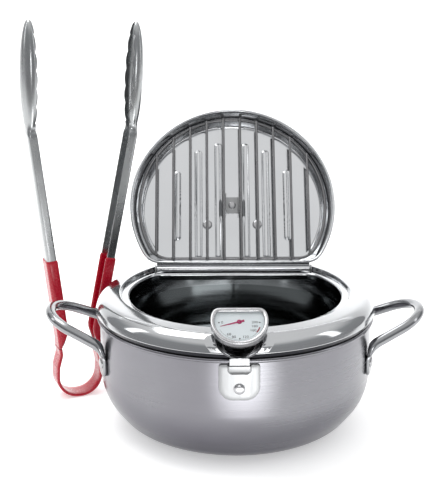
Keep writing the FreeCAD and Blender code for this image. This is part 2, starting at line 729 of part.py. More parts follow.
catch_slot = box("CatchSlot", -slot_half, -tongue_front - slot_gap,
                 size("tongue_low") - slot_gap, 2 * slot_half,
                 size("tongue_thickness") + 2 * slot_gap, catch_height)
catch = cut("CatchPiece", fuse("CatchWhole", catch_sheet, catch_block), catch_slot)
keep("catch_plate", catch)
keep("catch_rivet", rivet("CatchRivet", pot_radius + size("catch_thickness"),
                          Size(-90.0, "(0 - 90)"), size("catch_rivet_height"),
                          size("catch_thickness") + pot_sheet))

# ---------------------------------------------------------------- splash collar

collar_sheet = size("collar_sheet")
half_sheet = collar_sheet / 2
ledge_top = size("ledge_top")
ledge_middle = ledge_top - half_sheet
shoulder = rim_height + bead + size("seat_gap") + half_sheet
well_radius = size("well_radius")
opening_radius = size("opening_radius")
opening_chord = size("opening_chord")
facing = size("dial_elevation")


def d_solid(name, radius, chord, corner, low, height, centre=0):
    """An upright D: a disc cut off at its rear edge, with that edge's corners rounded."""
    disc = cylinder(name + "_disc", 0, centre, low, radius, height)
    keeper = box(name + "_keeper", -radius, centre - radius, low, 2 * radius,
                 radius + chord, height)
    shape = common(name + "_sharp", disc, keeper)
    rounded = doc.addObject("Part::Feature", name)
    doc.recompute()
    solid = shape.Shape
    corners = []
    for edge in solid.Edges:
        ends = [vertex.Point for vertex in edge.Vertexes]
        upright = len(ends) == 2 and abs(ends[0].x - ends[1].x) < 0.001
        upright = upright and abs(ends[0].z - ends[1].z) > 0.001
        if upright and abs(ends[0].y - number(centre + chord)) < 0.001:
            corners.append(edge)
    rounded.Shape = solid.makeFillet(number(corner), corners)
    return rounded


collar_turned = revolved_sheet("CollarTurned", [
    (size("skirt_radius"), size("skirt_low")),
    (size("skirt_radius"), shoulder, half_sheet * 3),
    (size("shoulder_radius"), shoulder, half_sheet * 2),
    (size("collar_edge_radius"), size("collar_edge_height"), half_sheet * 2),
    (size("dome_corner_radius"), size("dome_corner_height"), size("dome_bend")),
    (size("collar_top_radius"), size("collar_top_height"), half_sheet * 3),
    (well_radius, ledge_middle, half_sheet * 2),
    (opening_radius + half_sheet * 3, ledge_middle),
], collar_sheet)
deck_plate = cylinder("DeckPlate", 0, 0, ledge_top - collar_sheet, well_radius, collar_sheet)
opening_low = ledge_top - size("lip_depth")
lip_outer = d_solid("LipOuter", opening_radius + collar_sheet, opening_chord + collar_sheet,
                    size("opening_corner") + collar_sheet, opening_low, size("lip_depth"))
opening = d_solid("Opening", opening_radius, opening_chord, size("opening_corner"),
                  opening_low - 1, size("lip_depth") + 2)


def in_cup_frame(thing):
    """Stands a piece on the cup's axis, with its zero at the centre of the mouth."""
    thing.Placement = Placement(Vector(0, 0, 0), Rotation(Vector(1, 0, 0), 90 - number(facing)))
    return bind(thing, **{"Placement.Base.y": -size("cup_forward"),
                          "Placement.Base.z": size("cup_height")})


cup_radius = size("cup_radius")
cup_floor = size("cup_floor_radius")
cup_depth = size("cup_depth")


def cup_space(name, inset, rise):
    """The room inside the cup, closed at a plane above its mouth."""
    body = new_body(name)
    revolve(body, name + "_turned", [
        (0, inset - cup_depth),
        (cup_floor - inset, inset - cup_depth),
        (cup_radius - inset, 0),
        (cup_radius - inset, rise),
        (0, rise),
    ])
    return in_cup_frame(body)


collar_room = cut("CollarRoom", cup_space("CupRoom", 0 * cup_depth, cup_radius),
                  cylinder("CollarBack", 0, 0, ledge_top - cup_depth,
                           size("collar_top_radius") + collar_sheet, cup_depth * 2))
flare = new_body("CollarFlare")
revolve(flare, "CollarFlareTurned", [
    (cup_radius - collar_sheet, -collar_sheet),
    (cup_radius, 0),
    (size("flare_radius"), -size("flare_depth")),
    (size("flare_radius") - collar_sheet, -size("flare_depth") - collar_sheet / 2),
])
in_cup_frame(flare)
flare_limit = cut("FlareLimit",
                  cylinder("FlareOuter", 0, 0, size("collar_edge_height") - half_sheet,
                           size("flare_reach"), cup_radius),
                  cylinder("FlareInner", 0, 0, 0, size("collar_top_radius") + collar_sheet,
                           2 * rim_height))
collar_whole = fuse("CollarWhole", collar_turned, deck_plate, lip_outer)
collar_open = cut("CollarOpen", cut("CollarWell", collar_whole, opening), collar_room)
keep("collar_ring", collar_open)
keep("cup_flare", common("CupFlare", flare, flare_limit))

# ---------------------------------------------------------------- thermometer cup

guide_offset = ((size("dial_forward") - size("cup_forward")) * sine(facing)
                + (size("cup_height") - size("dial_height")) * cosine(facing))
cup_shell = cut("CupShell", cup_space("CupOutside", 0 * cup_depth, collar_sheet / 8),
                cup_space("CupInside", collar_sheet, collar_sheet))
cup_back = cylinder("CupBack", 0, 0, ledge_top - 1.25 * collar_sheet,
                    size("collar_top_radius") + collar_sheet, cup_radius)
guide_hole = new_body("GuideHole")
round_pad(guide_hole, "GuideHoleBore", 0, -guide_offset, size("stem_radius") + size("stem_fit"),
          -2 * cup_depth, 2 * cup_depth)
in_cup_frame(guide_hole)
cup = cut("CupPiece", cut("CupTrimmed", cup_shell, cup_back), guide_hole)
keep("thermometer_cup", cup)

tongue = new_body("CollarTongue")
pad(tongue, "TonguePad", [
    (-size("tongue_width") / 2, -tongue_front),
    (size("tongue_width") / 2, -tongue_front),
    (size("tongue_width") / 2, -tongue_back),
    (-size("tongue_width") / 2, -tongue_back),
], size("tongue_low"), size("tongue_high") - size("tongue_low"))
keep("collar_tongue", tongue)

# ---------------------------------------------------------------- hinge

hinge_setback = size("hinge_setback")
hinge_height = size("hinge_height")
ear_half = size("ear_half_width")
ear_inner = size("ear_inner")
ear_thickness = size("ear_thickness")


def hinge_ear(label, low_x):
    """A small plate standing on the deck, bored for the hinge rod."""
    ear = new_body(label + "_body")
    top = hinge_height + ear_half
    pad(ear, label + "_plate", [
        (hinge_setback - ear_half, ledge_top),
        (hinge_setback + ear_half, ledge_top),
        (hinge_setback + ear_half, top, ear_half * 0.9),
        (hinge_setback - ear_half, top, ear_half * 0.9),
    ], low_x, ear_thickness, "YZ_Plane")
    bore = draw_circle(sketch_on(ear, label + "_bore", "YZ_Plane", low_x + ear_thickness),
                       hinge_setback, hinge_height, size("hinge_rod_radius"))
    hole = ear.newObject("PartDesign::Pocket", label + "_hole")
    hole.Profile = bore
    bind(hole, Length=ear_thickness)
    return keep(label, ear)


hinge_ear("left_hinge_ear", -ear_inner - ear_thickness)
hinge_ear("right_hinge_ear", ear_inner)
rod_half = ear_inner + ear_thickness
hinge_rod = cylinder("HingeRod", -rod_half, hinge_setback, hinge_height,
                     size("hinge_rod_radius"), 2 * rod_half)
hinge_rod.Placement = Placement(Vector(0, 0, 0), Rotation(Vector(0, 1, 0), 90))
move(hinge_rod, -rod_half, hinge_setback, hinge_height)
keep("hinge_rod", hinge_rod)

# ---------------------------------------------------------------- lid, drawn closed about its hinge

lid_chord = size("lid_chord")
lid_sheet = size("lid_sheet")
lid_depth = size("lid_depth")
lid_bead = size("lid_bead_radius")
bead_level = -size("lid_bead_drop")


def open_lid(thing):
    """Swings a piece of the lid, drawn closed, to where it stands open."""
    thing.Placement = Placement(Vector(0, 0, 0),
                                Rotation(Vector(1, 0, 0), -number(size("open_angle"))))
    return bind(thing, **{"Placement.Base.y": hinge_setback, "Placement.Base.z": hinge_height})


def d_wire(circle, chord, corner, level):
    """The closed outline of a D about the pot's axis, seen from the hinge axis."""
    radius, cut_off, rounding = number(circle), number(chord), number(corner)
    setback, height = number(hinge_setback), number(level)
    rear = setback - cut_off
    bend_y = rear - rounding
    bend_x = math.sqrt((radius - rounding) ** 2 - bend_y ** 2)
    touch = math.atan2(bend_y, bend_x)
    centre = Vector(0, -setback, height)

    def round_edge(middle, reach, start, end):
        spots = []
        for angle in (start, (start + end) / 2, end):
            spots.append(middle + Vector(math.cos(angle), math.sin(angle), 0) * reach)
        return Part.Arc(*spots).toShape()

    right = centre + Vector(bend_x, bend_y, 0)
    left = centre + Vector(-bend_x, bend_y, 0)
    edges = [
        round_edge(centre, radius, touch, -math.pi - touch),
        round_edge(left, rounding, math.pi - touch, math.pi / 2),
        Part.LineSegment(left + Vector(0, rounding, 0), right + Vector(0, rounding, 0)).toShape(),
        round_edge(right, rounding, math.pi / 2, touch),
    ]
    return Part.Wire(Part.__sortEdges__(edges))


def lid_solid(inset):
    """The outside of the lid when inset is 0, and its inside otherwise."""
    low = d_wire(size("lid_bead_circle") - inset, lid_chord + inset,
                 size("lid_corner") - inset, bead_level)
    high = d_wire(size("lid_top_circle") - inset, size("lid_top_chord") + inset,
                  size("lid_top_corner") - inset, lid_depth - inset)
    solid = Part.makeLoft([low, high], True, True)
    top = max(solid.Faces, key=lambda face: face.CenterOfMass.z)
    return solid.makeFillet(number(size("lid_top_bend") - inset), top.Edges)


def rib(offset, start, end, radius, axis_level):
    """A round-ended bar, part of which stands out of the lid's sheet."""
    length = number(end) - number(start)
    near = Vector(offset, -number(start), axis_level)
    far = Vector(offset, -number(end), axis_level)
    bar = Part.makeCylinder(radius, length, near, Vector(0, -1, 0))
    return bar.fuse([Part.makeSphere(radius, near), Part.makeSphere(radius, far)])


rib_width, rib_height = number(size("rib_half_width")), number(size("rib_height"))
rib_radius = (rib_width ** 2 + rib_height ** 2) / (2 * rib_height)
rib_axis = number(lid_depth - lid_sheet) - rib_height + rib_radius
ridges, hollows = [], []
for name, start, end in (("rib_inner_offset", "rib_start", "rib_end"),
                         ("rib_middle_offset", "rib_start", "rib_end"),
                         ("rib_outer_offset", "rib_outer_start", "rib_outer_end")):
    for side in (-1, 1):
        offset = side * number(size(name))
        ridges.append(rib(offset, size(start), size(end), rib_radius, rib_axis))
        hollows.append(rib(offset, size(start), size(end), rib_radius - number(lid_sheet),
                           rib_axis))

lid_outside = lid_solid(Size(0.0, "0"))
lid_inside = lid_solid(lid_sheet)
lid_bead_wire = d_wire(size("lid_bead_circle"), lid_chord, size("lid_corner"), bead_level)
bead_start = lid_bead_wire.Edges[0].valueAt(lid_bead_wire.Edges[0].FirstParameter)
bead_way = lid_bead_wire.Edges[0].tangentAt(lid_bead_wire.Edges[0].FirstParameter)
bead_ring = Part.Wire([Part.Circle(bead_start, bead_way, number(lid_bead)).toShape()])
bead_solid = lid_bead_wire.makePipeShell([bead_ring], True, False)
ridge_band = [ridge.common(lid_outside) for ridge in ridges]
lid_shape = lid_outside.cut(lid_inside).fuse(ridge_band).cut(hollows)
barrel_length = 2 * number(size("barrel_half_length"))
barrel_start = Vector(-barrel_length / 2, 0, 0)
barrel = Part.makeCylinder(number(size("barrel_radius")), barrel_length, barrel_start,
                           Vector(1, 0, 0))
leaf = Part.makeBox(barrel_length * 0.86, number(lid_chord), number(lid_sheet),
                    Vector(-barrel_length * 0.43, -number(lid_chord), 0))
rod_bore = Part.makeCylinder(number(size("hinge_rod_radius") + size("hinge_running_fit")),
                             barrel_length, barrel_start, Vector(1, 0, 0))
handle_holes = []
for side in (-1, 1):
    spot = Vector(side * number(size("lid_handle_half_span")),
                  -number(size("lid_handle_distance")), 0)
    handle_holes.append(Part.makeCylinder(number(size("rivet_shank")), 2 * number(lid_depth),
                                          spot))
clip_hole = Part.makeCylinder(number(size("rivet_shank")), 2 * number(lid_depth),
                              Vector(0, -number(size("clip_distance")), 0))
lid_shape = lid_shape.fuse([bead_solid, barrel, leaf]).cut(
    [rod_bore, clip_hole] + handle_holes)
lid_pan = doc.addObject("Part::Feature", "LidPan")
lid_pan.Shape = lid_shape
keep("lid_pan", open_lid(lid_pan))

# lid handle: a bent rod on two round feet, riveted through the lid's top
span = size("lid_handle_half_span")
away = size("lid_handle_distance")
crown = lid_depth + size("lid_handle_height")
foot_top = lid_depth + size("lid_foot_thickness")
handle_bow = bent_rod("LidHandleBow", [
    (-span, -away, foot_top), (-span, -away, crown), (span, -away, crown), (span, -away, foot_top),
], [size("lid_handle_bend")] * 2, size("lid_handle_rod"))
lid_feet = []
for side in (-1, 1):
    lid_feet.append(cylinder("LidFoot%d" % len(lid_feet), side * span, -away, lid_depth,
                             size("lid_foot_radius"), size("lid_foot_thickness")))
lid_handle = fuse("LidHandle", handle_bow, *lid_feet)
keep("lid_handle", open_lid(lid_handle))

lid_inner_face = lid_depth - lid_sheet
button = size("rivet_head_height") / 2
lid_rivets = []
for side in (-1, 1):
    index = len(lid_rivets)
    lid_rivets.append(fuse(
        "LidRivet%d" % index,
        cylinder("LidRivetShank%d" % index, side * span, -away, lid_inner_face,
                 size("rivet_shank"), lid_sheet),
        cylinder("LidRivetHead%d" % index, side * span, -away, lid_inner_face - button,
                 size("rivet_head"), button)))
keep("lid_handle_rivets", open_lid(group("LidHandleRivets", lid_rivets)))

# rack clip: a small channel riveted inside the lid, whose flanges press between two wires
rack_level = size("rack_level")
wire_level = rack_level - size("frame_wire") - size("grid_wire") + size("weld_sink")
clip_sheet = size("clip_sheet")
clip_half = size("wire_spacing") / 2 - size("grid_wire") - size("clip_grip_gap") - clip_sheet / 2
clip_base = lid_inner_face - clip_sheet / 2
clip_band = sheet_band("RackClip", [
    (-clip_half, wire_level - size("grid_wire")),
    (-clip_half, clip_base, clip_sheet * 1.5),
    (clip_half, clip_base, clip_sheet * 1.5),
    (clip_half, wire_level - size("grid_wire")),
], clip_sheet, -size("clip_distance") - size("clip_length") / 2)
clip_bent = extrude("RackClipBent", clip_band, size("clip_length"), Vector(0, 1, 0))
clip_bore = cylinder("RackClipBore", 0, -size("clip_distance"), 0, size("rivet_shank"), lid_depth)
keep("rack_clip", open_lid(cut("RackClipPiece", clip_bent, clip_bore)))
clip_rivet = fuse("ClipRivet",
                  cylinder("ClipRivetShank", 0, -size("clip_distance"),
                           lid_inner_face - clip_sheet, size("rivet_shank"),
                           lid_sheet + clip_sheet),
                  cylinder("ClipRivetHead", 0, -size("clip_distance"),
                           lid_inner_face - clip_sheet - button, size("rivet_shank") * 1.4,
                           button),
                  cylinder("ClipRivetTail", 0, -size("clip_distance"), lid_depth,
                           size("rivet_head"), button))
keep("rack_clip_rivet", open_lid(clip_rivet))

# ---------------------------------------------------------------- drain rack

frame_line = d_wire(size("rack_circle"), size("rack_chord"), size("rack_corner"), rack_level)
frame_start = frame_line.Edges[0].valueAt(frame_line.Edges[0].FirstParameter)
frame_way = frame_line.Edges[0].tangentAt(frame_line.Edges[0].FirstParameter)
frame_ring = Part.Wire([Part.Circle(frame_start, frame_way, number(size("frame_wire"))).toShape()])
rack_frame = doc.addObject("Part::Feature", "RackFrame")
rack_frame.Shape = frame_line.makePipeShell([frame_ring], True, False)
keep("rack_frame", open_lid(rack_frame))


def rack_rear(x):
    """How far the rack frame's rear side lies from the hinge axis at x."""
    radius, rounding = number(size("rack_circle")), number(size("rack_corner"))
    setback = number(hinge_setback)
    bend_y = setback - number(size("rack_chord")) - rounding
    bend_x = math.sqrt((radius - rounding) ** 2 - bend_y ** 2)
    if abs(x) <= bend_x:
        return number(size("rack_chord"))
    return setback - bend_y - math.sqrt(rounding ** 2 - (abs(x) - bend_x) ** 2)


wires = []
for index in range(GRID_WIRES):
    x = (index - (GRID_WIRES - 1) / 2) * size("wire_spacing")
    near = rack_rear(number(x)) - number(size("wire_overhang"))
    far = number(hinge_setback) + math.sqrt(number(size("rack_circle")) ** 2 - number(x) ** 2)
    far += number(size("wire_overhang"))
    wire = cylinder("GridWire%d" % index, 0, 0, 0, size("grid_wire"), far - near)
    wire.Placement = Placement(Vector(0, 0, 0), Rotation(Vector(1, 0, 0), 90))
    wires.append(move(wire, x, -near, wire_level))
keep("rack_wires", open_lid(group("RackWires", wires)))

# ---------------------------------------------------------------- thermometer


def face_dial(thing):
    """Turns a piece of the thermometer, drawn facing up, to face the cook."""
    thing.Placement = Placement(Vector(0, 0, 0), Rotation(Vector(1, 0, 0), 90 - number(facing)))
    return bind(thing, **{"Placement.Base.y": -size("dial_forward"),
                          "Placement.Base.z": size("dial_height")})


def dial_solid(name, inset, low, height):
    """A round plate with one flat side, which the whole dial is built up from."""
    return d_solid(name, size("case_radius") - inset, size("case_flat") - inset,
                   size("case_corner") - inset, low, height)


case_depth = size("case_depth")
case_wall = size("case_wall")
bezel_thickness = size("bezel_thickness")
case_block = dial_solid("CaseBlock", Size(0.0, "0"), -case_depth, case_depth - bezel_thickness)
case_room = dial_solid("CaseRoom", case_wall, case_wall - case_depth, case_depth)
case_bore = cylinder("CaseBore", 0, 0, -2 * case_depth, size("coil_radius") + size("coil_wire"),
                     2 * case_depth)
case_piece = cut("CasePiece", cut("CaseShell", case_block, case_room), case_bore)
keep("thermometer_case", face_dial(case_piece))

bezel_block = dial_solid("BezelBlock", Size(0.0, "0"), -bezel_thickness, bezel_thickness)
bezel_room = dial_solid("BezelRoom", size("bezel_width"), -2 * bezel_thickness,
                        4 * bezel_thickness)
keep("thermometer_bezel", face_dial(cut("BezelPiece", bezel_block, bezel_room)))

glass = dial_solid("GlassPiece", size("case_wall"),
                   -bezel_thickness - size("glass_thickness"), size("glass_thickness"))
keep("dial_glass", face_dial(glass))

dial_block = dial_solid("DialBlock", size("case_wall"), -size("dial_level") - size("dial_thickness"),
                        size("dial_thickness"))
dial_bore = cylinder("DialBore", 0, 0, -case_depth, size("shaft_radius") + size("stem_fit"),
                     case_depth)
keep("dial_plate", face_dial(cut("DialPlate", dial_block, dial_bore)))

ferrule_length = cup_depth - collar_sheet + (
    (size("dial_forward") - size("cup_forward")) * cosine(facing)
    + (size("dial_height") - size("cup_height")) * sine(facing) - case_depth)
stem = new_body("ProbeStem")
stem_room = size("stem_radius") - size("stem_wall")
revolve(stem, "ProbeStemTurned", [
    (0, -case_depth - size("stem_length")),
    (size("stem_radius"), -case_depth - size("stem_length"), size("stem_wall")),
    (size("stem_radius"), -case_depth - ferrule_length),
    (size("ferrule_radius"), -case_depth - ferrule_length),
    (size("ferrule_radius"), -case_depth),
    (stem_room, -case_depth),
    (stem_room, size("stem_wall") - case_depth - size("stem_length")),
    (0, size("stem_wall") - case_depth - size("stem_length")),
])
keep("probe_stem", face_dial(stem))

coil_radius = size("coil_radius")
coil_low = -case_depth - size("stem_length") + 2 * size("coil_length")
coil = doc.addObject("Part::Feature", "BimetalCoil")
coil_line = Part.makeHelix(number(size("coil_pitch")), number(size("coil_length")),
                           number(coil_radius))
coil_ring = Part.Wire([Part.Circle(Vector(number(coil_radius), 0, 0), Vector(0, 1, 0),
                                   number(size("coil_wire"))).toShape()])
coil_solid = Part.Wire(coil_line).makePipeShell([coil_ring], True, True)
coil.Shape = coil_solid
face_dial(coil)
doc.recompute()
coil_spot = coil.Placement.multVec(Vector(0, 0, number(coil_low)))
coil.setExpression("Placement.Base.y", None)
coil.setExpression("Placement.Base.z", None)
coil.Placement = Placement(coil_spot, coil.Placement.Rotation)
keep("bimetal_coil", coil)

needle_level = -size("dial_level") + size("needle_thickness") / 2
hub = size("hub_radius")
needle = new_body("Needle")
pad(needle, "NeedleBlade", [
    (-size("needle_tail"), -size("needle_width")),
    (0, -size("needle_width") / 2),
    (size("needle_length"), -size("needle_width") / 4),
    (size("needle_length"), size("needle_width") / 4),
    (0, size("needle_width") / 2),
    (-size("needle_tail"), size("needle_width")),
], needle_level, size("needle_thickness"))
round_pad(needle, "NeedleHub", 0, 0, hub, needle_level, size("needle_thickness"))
round_pocket(needle, "NeedleBore", 0, 0, size("shaft_radius"),
             needle_level + size("needle_thickness"), size("needle_thickness"))
face_dial(needle)
needle.Placement = needle.Placement.multiply(
    Placement(Vector(0, 0, 0), Rotation(Vector(0, 0, 1), number(size("needle_rest")))))
keep("needle", needle)
shaft = new_body("NeedleShaft")
round_pad(shaft, "NeedleShaftTurned", 0, 0, size("shaft_radius"), case_wall - case_depth,
          needle_level + size("needle_thickness") + case_depth - case_wall)
keep("needle_shaft", face_dial(shaft))

# ---------------------------------------------------------------- spring tongs

tongs_turn = size("tongs_turn")
tongs_lean = size("tongs_lean")
vinyl = size("vinyl_thickness")
strip_sheet = size("strip_sheet")
strip_width = size("strip_width")
loop_centre_height = (size("loop_bend") + strip_sheet / 2 + vinyl
                      + (size("loop_drop") - size("loop_bend")) * cosine(tongs_lean)
                      + (size("loop_half_width") - size("loop_bend")) * sine(tongs_lean))
pivot_height = size("pivot_height")
splay = size("arm_splay")
pivot_across = (size("waist_half_width")
                + (pivot_height - size("waist_height")) * tangent(splay))


def stand_tongs(thing):
    """Stands a piece of the tongs, drawn upright about the loop's centre, on the floor."""
    heading = Rotation(Vector(0, 0, 1), number(tongs_turn))
    lean = Rotation(Vector(0, 1, 0), number(tongs_lean))
    thing.Placement = Placement(Vector(0, 0, 0), heading * lean)
    return bind(thing, **{"Placement.Base.x": -size("tongs_left"),
                          "Placement.Base.y": size("tongs_back"),
                          "Placement.Base.z": loop_centre_height})


loop_half = size("loop_half_width")
end_gap = size("pivot_round") + size("pivot_gap") + strip_sheet / 2 + vinyl
end_height = pivot_height - end_gap * cosine(splay)
end_across = pivot_across - end_gap * sine(splay)
waist = size("waist_half_width")
loop_path = [
    (-end_across, end_height),
    (-waist, size("waist_height"), size("loop_top_bend")),
    (-loop_half, size("loop_top_bend"), size("loop_top_bend")),
    (-loop_half, -size("loop_drop"), size("loop_bend")),
    (loop_half, -size("loop_drop"), size("loop_bend")),
    (loop_half, size("loop_top_bend"), size("loop_top_bend")),
    (waist, size("waist_height"), size("loop_top_bend")),
    (end_across, end_height),
]
core_band = sheet_band("LoopCore", loop_path, strip_sheet, -strip_width / 2)
core = extrude("LoopCoreStrip", core_band, strip_width, Vector(0, 1, 0))
keep("tong_loop_core", stand_tongs(extrude("LoopCorePiece", core_band, strip_width,
                                           Vector(0, 1, 0))))
coat_band = sheet_band("LoopCoat", loop_path, strip_sheet + 2 * vinyl, -strip_width / 2 - vinyl)
coat = extrude("LoopCoatStrip", coat_band, strip_width + 2 * vinyl, Vector(0, 1, 0))
keep("tong_loop_grip", stand_tongs(cut("LoopGripPiece", coat, core)))


def channel_section(name, grow, side, low):
    """The arm's channel in section; its flanges point to the other arm."""
    line = [
        (-side * size("flange_depth"), -strip_width / 2 + strip_sheet / 2),
        (-side * strip_sheet / 2, -strip_width / 2 + strip_sheet / 2, size("channel_bend")),
        (-side * strip_sheet / 2, strip_width / 2 - strip_sheet / 2, size("channel_bend")),
        (-side * size("flange_depth"), strip_width / 2 - strip_sheet / 2),
    ]
    return sheet_band(name, line, strip_sheet + 2 * grow, low, False)


def tong_head(side_name, side):
    """The spoon-shaped head with scalloped edges, bent back towards the other arm."""
    length = size("head_length")
    inset = -side * size("head_inset")
    shells = []
    for name, shrink in (("HeadOuter", 0 * length), ("HeadInner", size("head_sheet"))):
        form = doc.addObject("Part::Ellipsoid", side_name + name)
        bind(form, Radius1=length / 2 - shrink, Radius2=size("head_bulge") - shrink,
             Radius3=size("head_width") / 2 - shrink)
        form.Angle1 = -90
        form.Angle2 = 90
        form.Angle3 = 360
        shells.append(move(form, inset, 0, length / 2))
    bowl = cut(side_name + "Bowl", *shells)
    width = size("head_width")
    outward = inset + side * size("head_sheet")
    keepers = [box(side_name + "OuterHalf", outward if side > 0 else outward - width, -width,
                   0 * length, width, 2 * width, length)]
    pitch = (length - 2 * size("head_overlap")) / SCALLOPS
    for index in range(SCALLOPS):
        lobe = doc.addObject("Part::Cylinder", "%sLobe%d" % (side_name, index))
        bind(lobe, Radius=size("scallop_radius"), Height=2 * width)
        lobe.Placement = Placement(Vector(0, 0, 0), Rotation(Vector(1, 0, 0), 90))
        inward = inset + side * (size("scallop_radius") - size("scallop_reach"))
        level = length / 2 + (index - (SCALLOPS - 1) / 2) * pitch
        keepers.append(move(lobe, inward, width, level))
    head = common(side_name + "Head", bowl, fuse(side_name + "HeadKeeper", *keepers))
    head.Placement = Placement(Vector(0, 0, 0),
                               Rotation(Vector(0, 1, 0), -side * number(size("head_tilt"))))
    return move(head, 0, 0, size("arm_length") - size("head_overlap"))


def tong_arm(side_name, side):
    """One arm with its head, and the vinyl on its lower part."""
    bar = extrude(side_name + "ArmBar", channel_section(side_name + "ArmSection", 0 * vinyl, side,
                                                        -size("pivot_round")),
                  size("arm_length") + size("pivot_round"))
    head = tong_head(side_name, side)
    sleeve_low = -size("pivot_round")
    arm = fuse(side_name + "ArmWhole", bar, head)
    coat_outer = extrude(side_name + "GripOuter",
                         channel_section(side_name + "GripSection", vinyl, side, sleeve_low),
                         size("grip_length") + size("pivot_round"))
    grip = cut(side_name + "GripWhole", coat_outer, bar)
    placed = []
    for piece in (arm, grip):
        heading = Rotation(Vector(0, 0, 1), number(tongs_turn))
        lean = Rotation(Vector(0, 1, 0), number(tongs_lean))
        tilt = Rotation(Vector(0, 1, 0), side * number(splay))
        whole = heading * lean
        spot = whole.multVec(Vector(side * number(pivot_across), 0, number(pivot_height)))
        spot += Vector(-number(size("tongs_left")), number(size("tongs_back")),
                       number(loop_centre_height))
        piece.Placement = Placement(spot, whole * tilt)
        placed.append(piece)
    keep(side_name.lower() + "_tong_arm", placed[0])
    keep(side_name.lower() + "_tong_grip", placed[1])


tong_arm("Left", -1)
tong_arm("Right", 1)

# ---------------------------------------------------------------- check and write

doc.recompute()
faults = []
for thing in doc.Objects:
    if "Invalid" in thing.State or "Error" in thing.State:
        faults.append("%s: %s" % (thing.Label, thing.State))
for node in nodes:
    if node.Shape.isNull() or not node.Shape.isValid() or not node.Shape.Solids:
        faults.append("%s: no valid solid" % node.Label)
if faults:
    raise RuntimeError("; ".join(faults))
os.makedirs("parts", exist_ok=True)
for node in nodes:
    node.Shape.exportStep("parts/%s.step" % node.Label)
    box_of = node.Shape.BoundBox
    print("%-20s %d solids, volume %.1f, x %.1f..%.1f y %.1f..%.1f z %.1f..%.1f" % (
        node.Label, len(node.Shape.Solids), node.Shape.Volume, box_of.XMin, box_of.XMax,
        box_of.YMin, box_of.YMax, box_of.ZMin, box_of.ZMax))
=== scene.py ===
from math import asin, atan2, ceil, copysign, cos, floor, hypot, pi, radians, sin, sqrt, tan

import bmesh
import bpy
from mathutils import Matrix, Vector


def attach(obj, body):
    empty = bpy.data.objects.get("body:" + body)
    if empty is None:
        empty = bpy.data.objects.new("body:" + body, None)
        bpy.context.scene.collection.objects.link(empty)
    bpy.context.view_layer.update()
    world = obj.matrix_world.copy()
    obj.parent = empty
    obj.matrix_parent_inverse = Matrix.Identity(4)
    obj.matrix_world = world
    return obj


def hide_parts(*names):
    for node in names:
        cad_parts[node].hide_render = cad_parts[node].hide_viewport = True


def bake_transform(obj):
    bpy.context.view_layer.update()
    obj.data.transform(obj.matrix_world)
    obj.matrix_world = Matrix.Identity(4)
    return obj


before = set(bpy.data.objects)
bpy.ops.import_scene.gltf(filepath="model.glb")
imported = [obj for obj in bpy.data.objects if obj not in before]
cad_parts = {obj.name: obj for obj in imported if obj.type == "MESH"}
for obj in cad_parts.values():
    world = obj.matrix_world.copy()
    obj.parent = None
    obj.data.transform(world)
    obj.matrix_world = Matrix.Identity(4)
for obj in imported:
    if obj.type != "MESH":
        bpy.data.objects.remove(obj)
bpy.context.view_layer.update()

# ----- camera
# A long lens a little above the rim of the pot, slightly left of centre, level with the
# middle of the open lid.
mm = 0.001
camera_place = Vector((-28.3, -954.5, 424.9)) * mm
camera_aim = Vector((-12.8, 0, 155.2)) * mm
camera_data = bpy.data.cameras.new("camera")
camera_data.lens = 83
camera_data.sensor_width = 36
camera_data.clip_end = 20
camera = bpy.data.objects.new("camera", camera_data)
camera.location = camera_place
camera.rotation_euler = (camera_aim - camera_place).to_track_quat("-Z", "Y").to_euler()
bpy.context.scene.collection.objects.link(camera)
bpy.context.scene.camera = camera

# ----- floor, backdrop and light
# A white sweep of board curves up behind the pot. Large soft lamps hang over it and at both
# sides. The room in front is darker, which polished steel needs to show its shape: painted shade
# darkens the board towards the front. The board glows faintly, and a painted pool of light glows
# bright on it in front of the pot, seen as a highlight in the pot's front.


def shown(name, mesh, smooth_angle=35):
    """Puts a mesh in the scene, smooth but for edges sharper than the angle."""
    mesh.shade_smooth()
    mesh.set_sharp_from_angle(angle=radians(smooth_angle))
    piece = bpy.data.objects.new(name, mesh)
    bpy.context.scene.collection.objects.link(piece)
    return piece


def add_mesh(name, points, faces, smooth_angle=35):
    """Makes an object from points in metres and faces."""
    mesh = bpy.data.meshes.new(name)
    mesh.from_pydata([tuple(point) for point in points], [], faces)
    mesh.validate()
    work = bmesh.new()
    work.from_mesh(mesh)
    bmesh.ops.remove_doubles(work, verts=work.verts, dist=1e-7)
    bmesh.ops.recalc_face_normals(work, faces=work.faces)
    work.to_mesh(mesh)
    work.free()
    return shown(name, mesh, smooth_angle)


def new_material(name):
    """A fresh material; returns it with its node tree and its main shader."""
    material = bpy.data.materials.new(name)
    material.use_nodes = True
    tree = material.node_tree
    return material, tree, tree.nodes["Principled BSDF"]


def link(tree, output, socket):
    tree.links.new(output, socket)


def set_up(node, **settings):
    """Sets a node's inputs or options by name, with _ for a space in an input's name."""
    for name, value in settings.items():
        socket = name.replace("_", " ")
        if socket in node.inputs:
            node.inputs[socket].default_value = value
        else:
            setattr(node, name, value)
    return node


def add_node(tree, kind, source=None, **settings):
    """A new node; the source feeds its first input."""
    node = tree.nodes.new("ShaderNode" + kind)
    if source is not None:
        link(tree, source, node.inputs[0])
    return set_up(node, **settings)


def ramp(tree, source, *stops):
    """A colour ramp fed by a value; each stop is a position and a grey or a colour."""
    node = add_node(tree, "ValToRGB", source)
    elements = node.color_ramp.elements
    while len(elements) < len(stops):
        elements.new(0.5)
    for element, (position, colour) in zip(elements, stops):
        element.position = position
        tone = colour if isinstance(colour, tuple) else (colour, colour, colour)
        element.color = (*tone, 1)
    return node.outputs[0]


def fan(start, whole, steps):
    """Angles in even steps, from a start and through a whole turn in degrees."""
    return [radians(start + whole * k / steps) for k in range(steps + 1)]


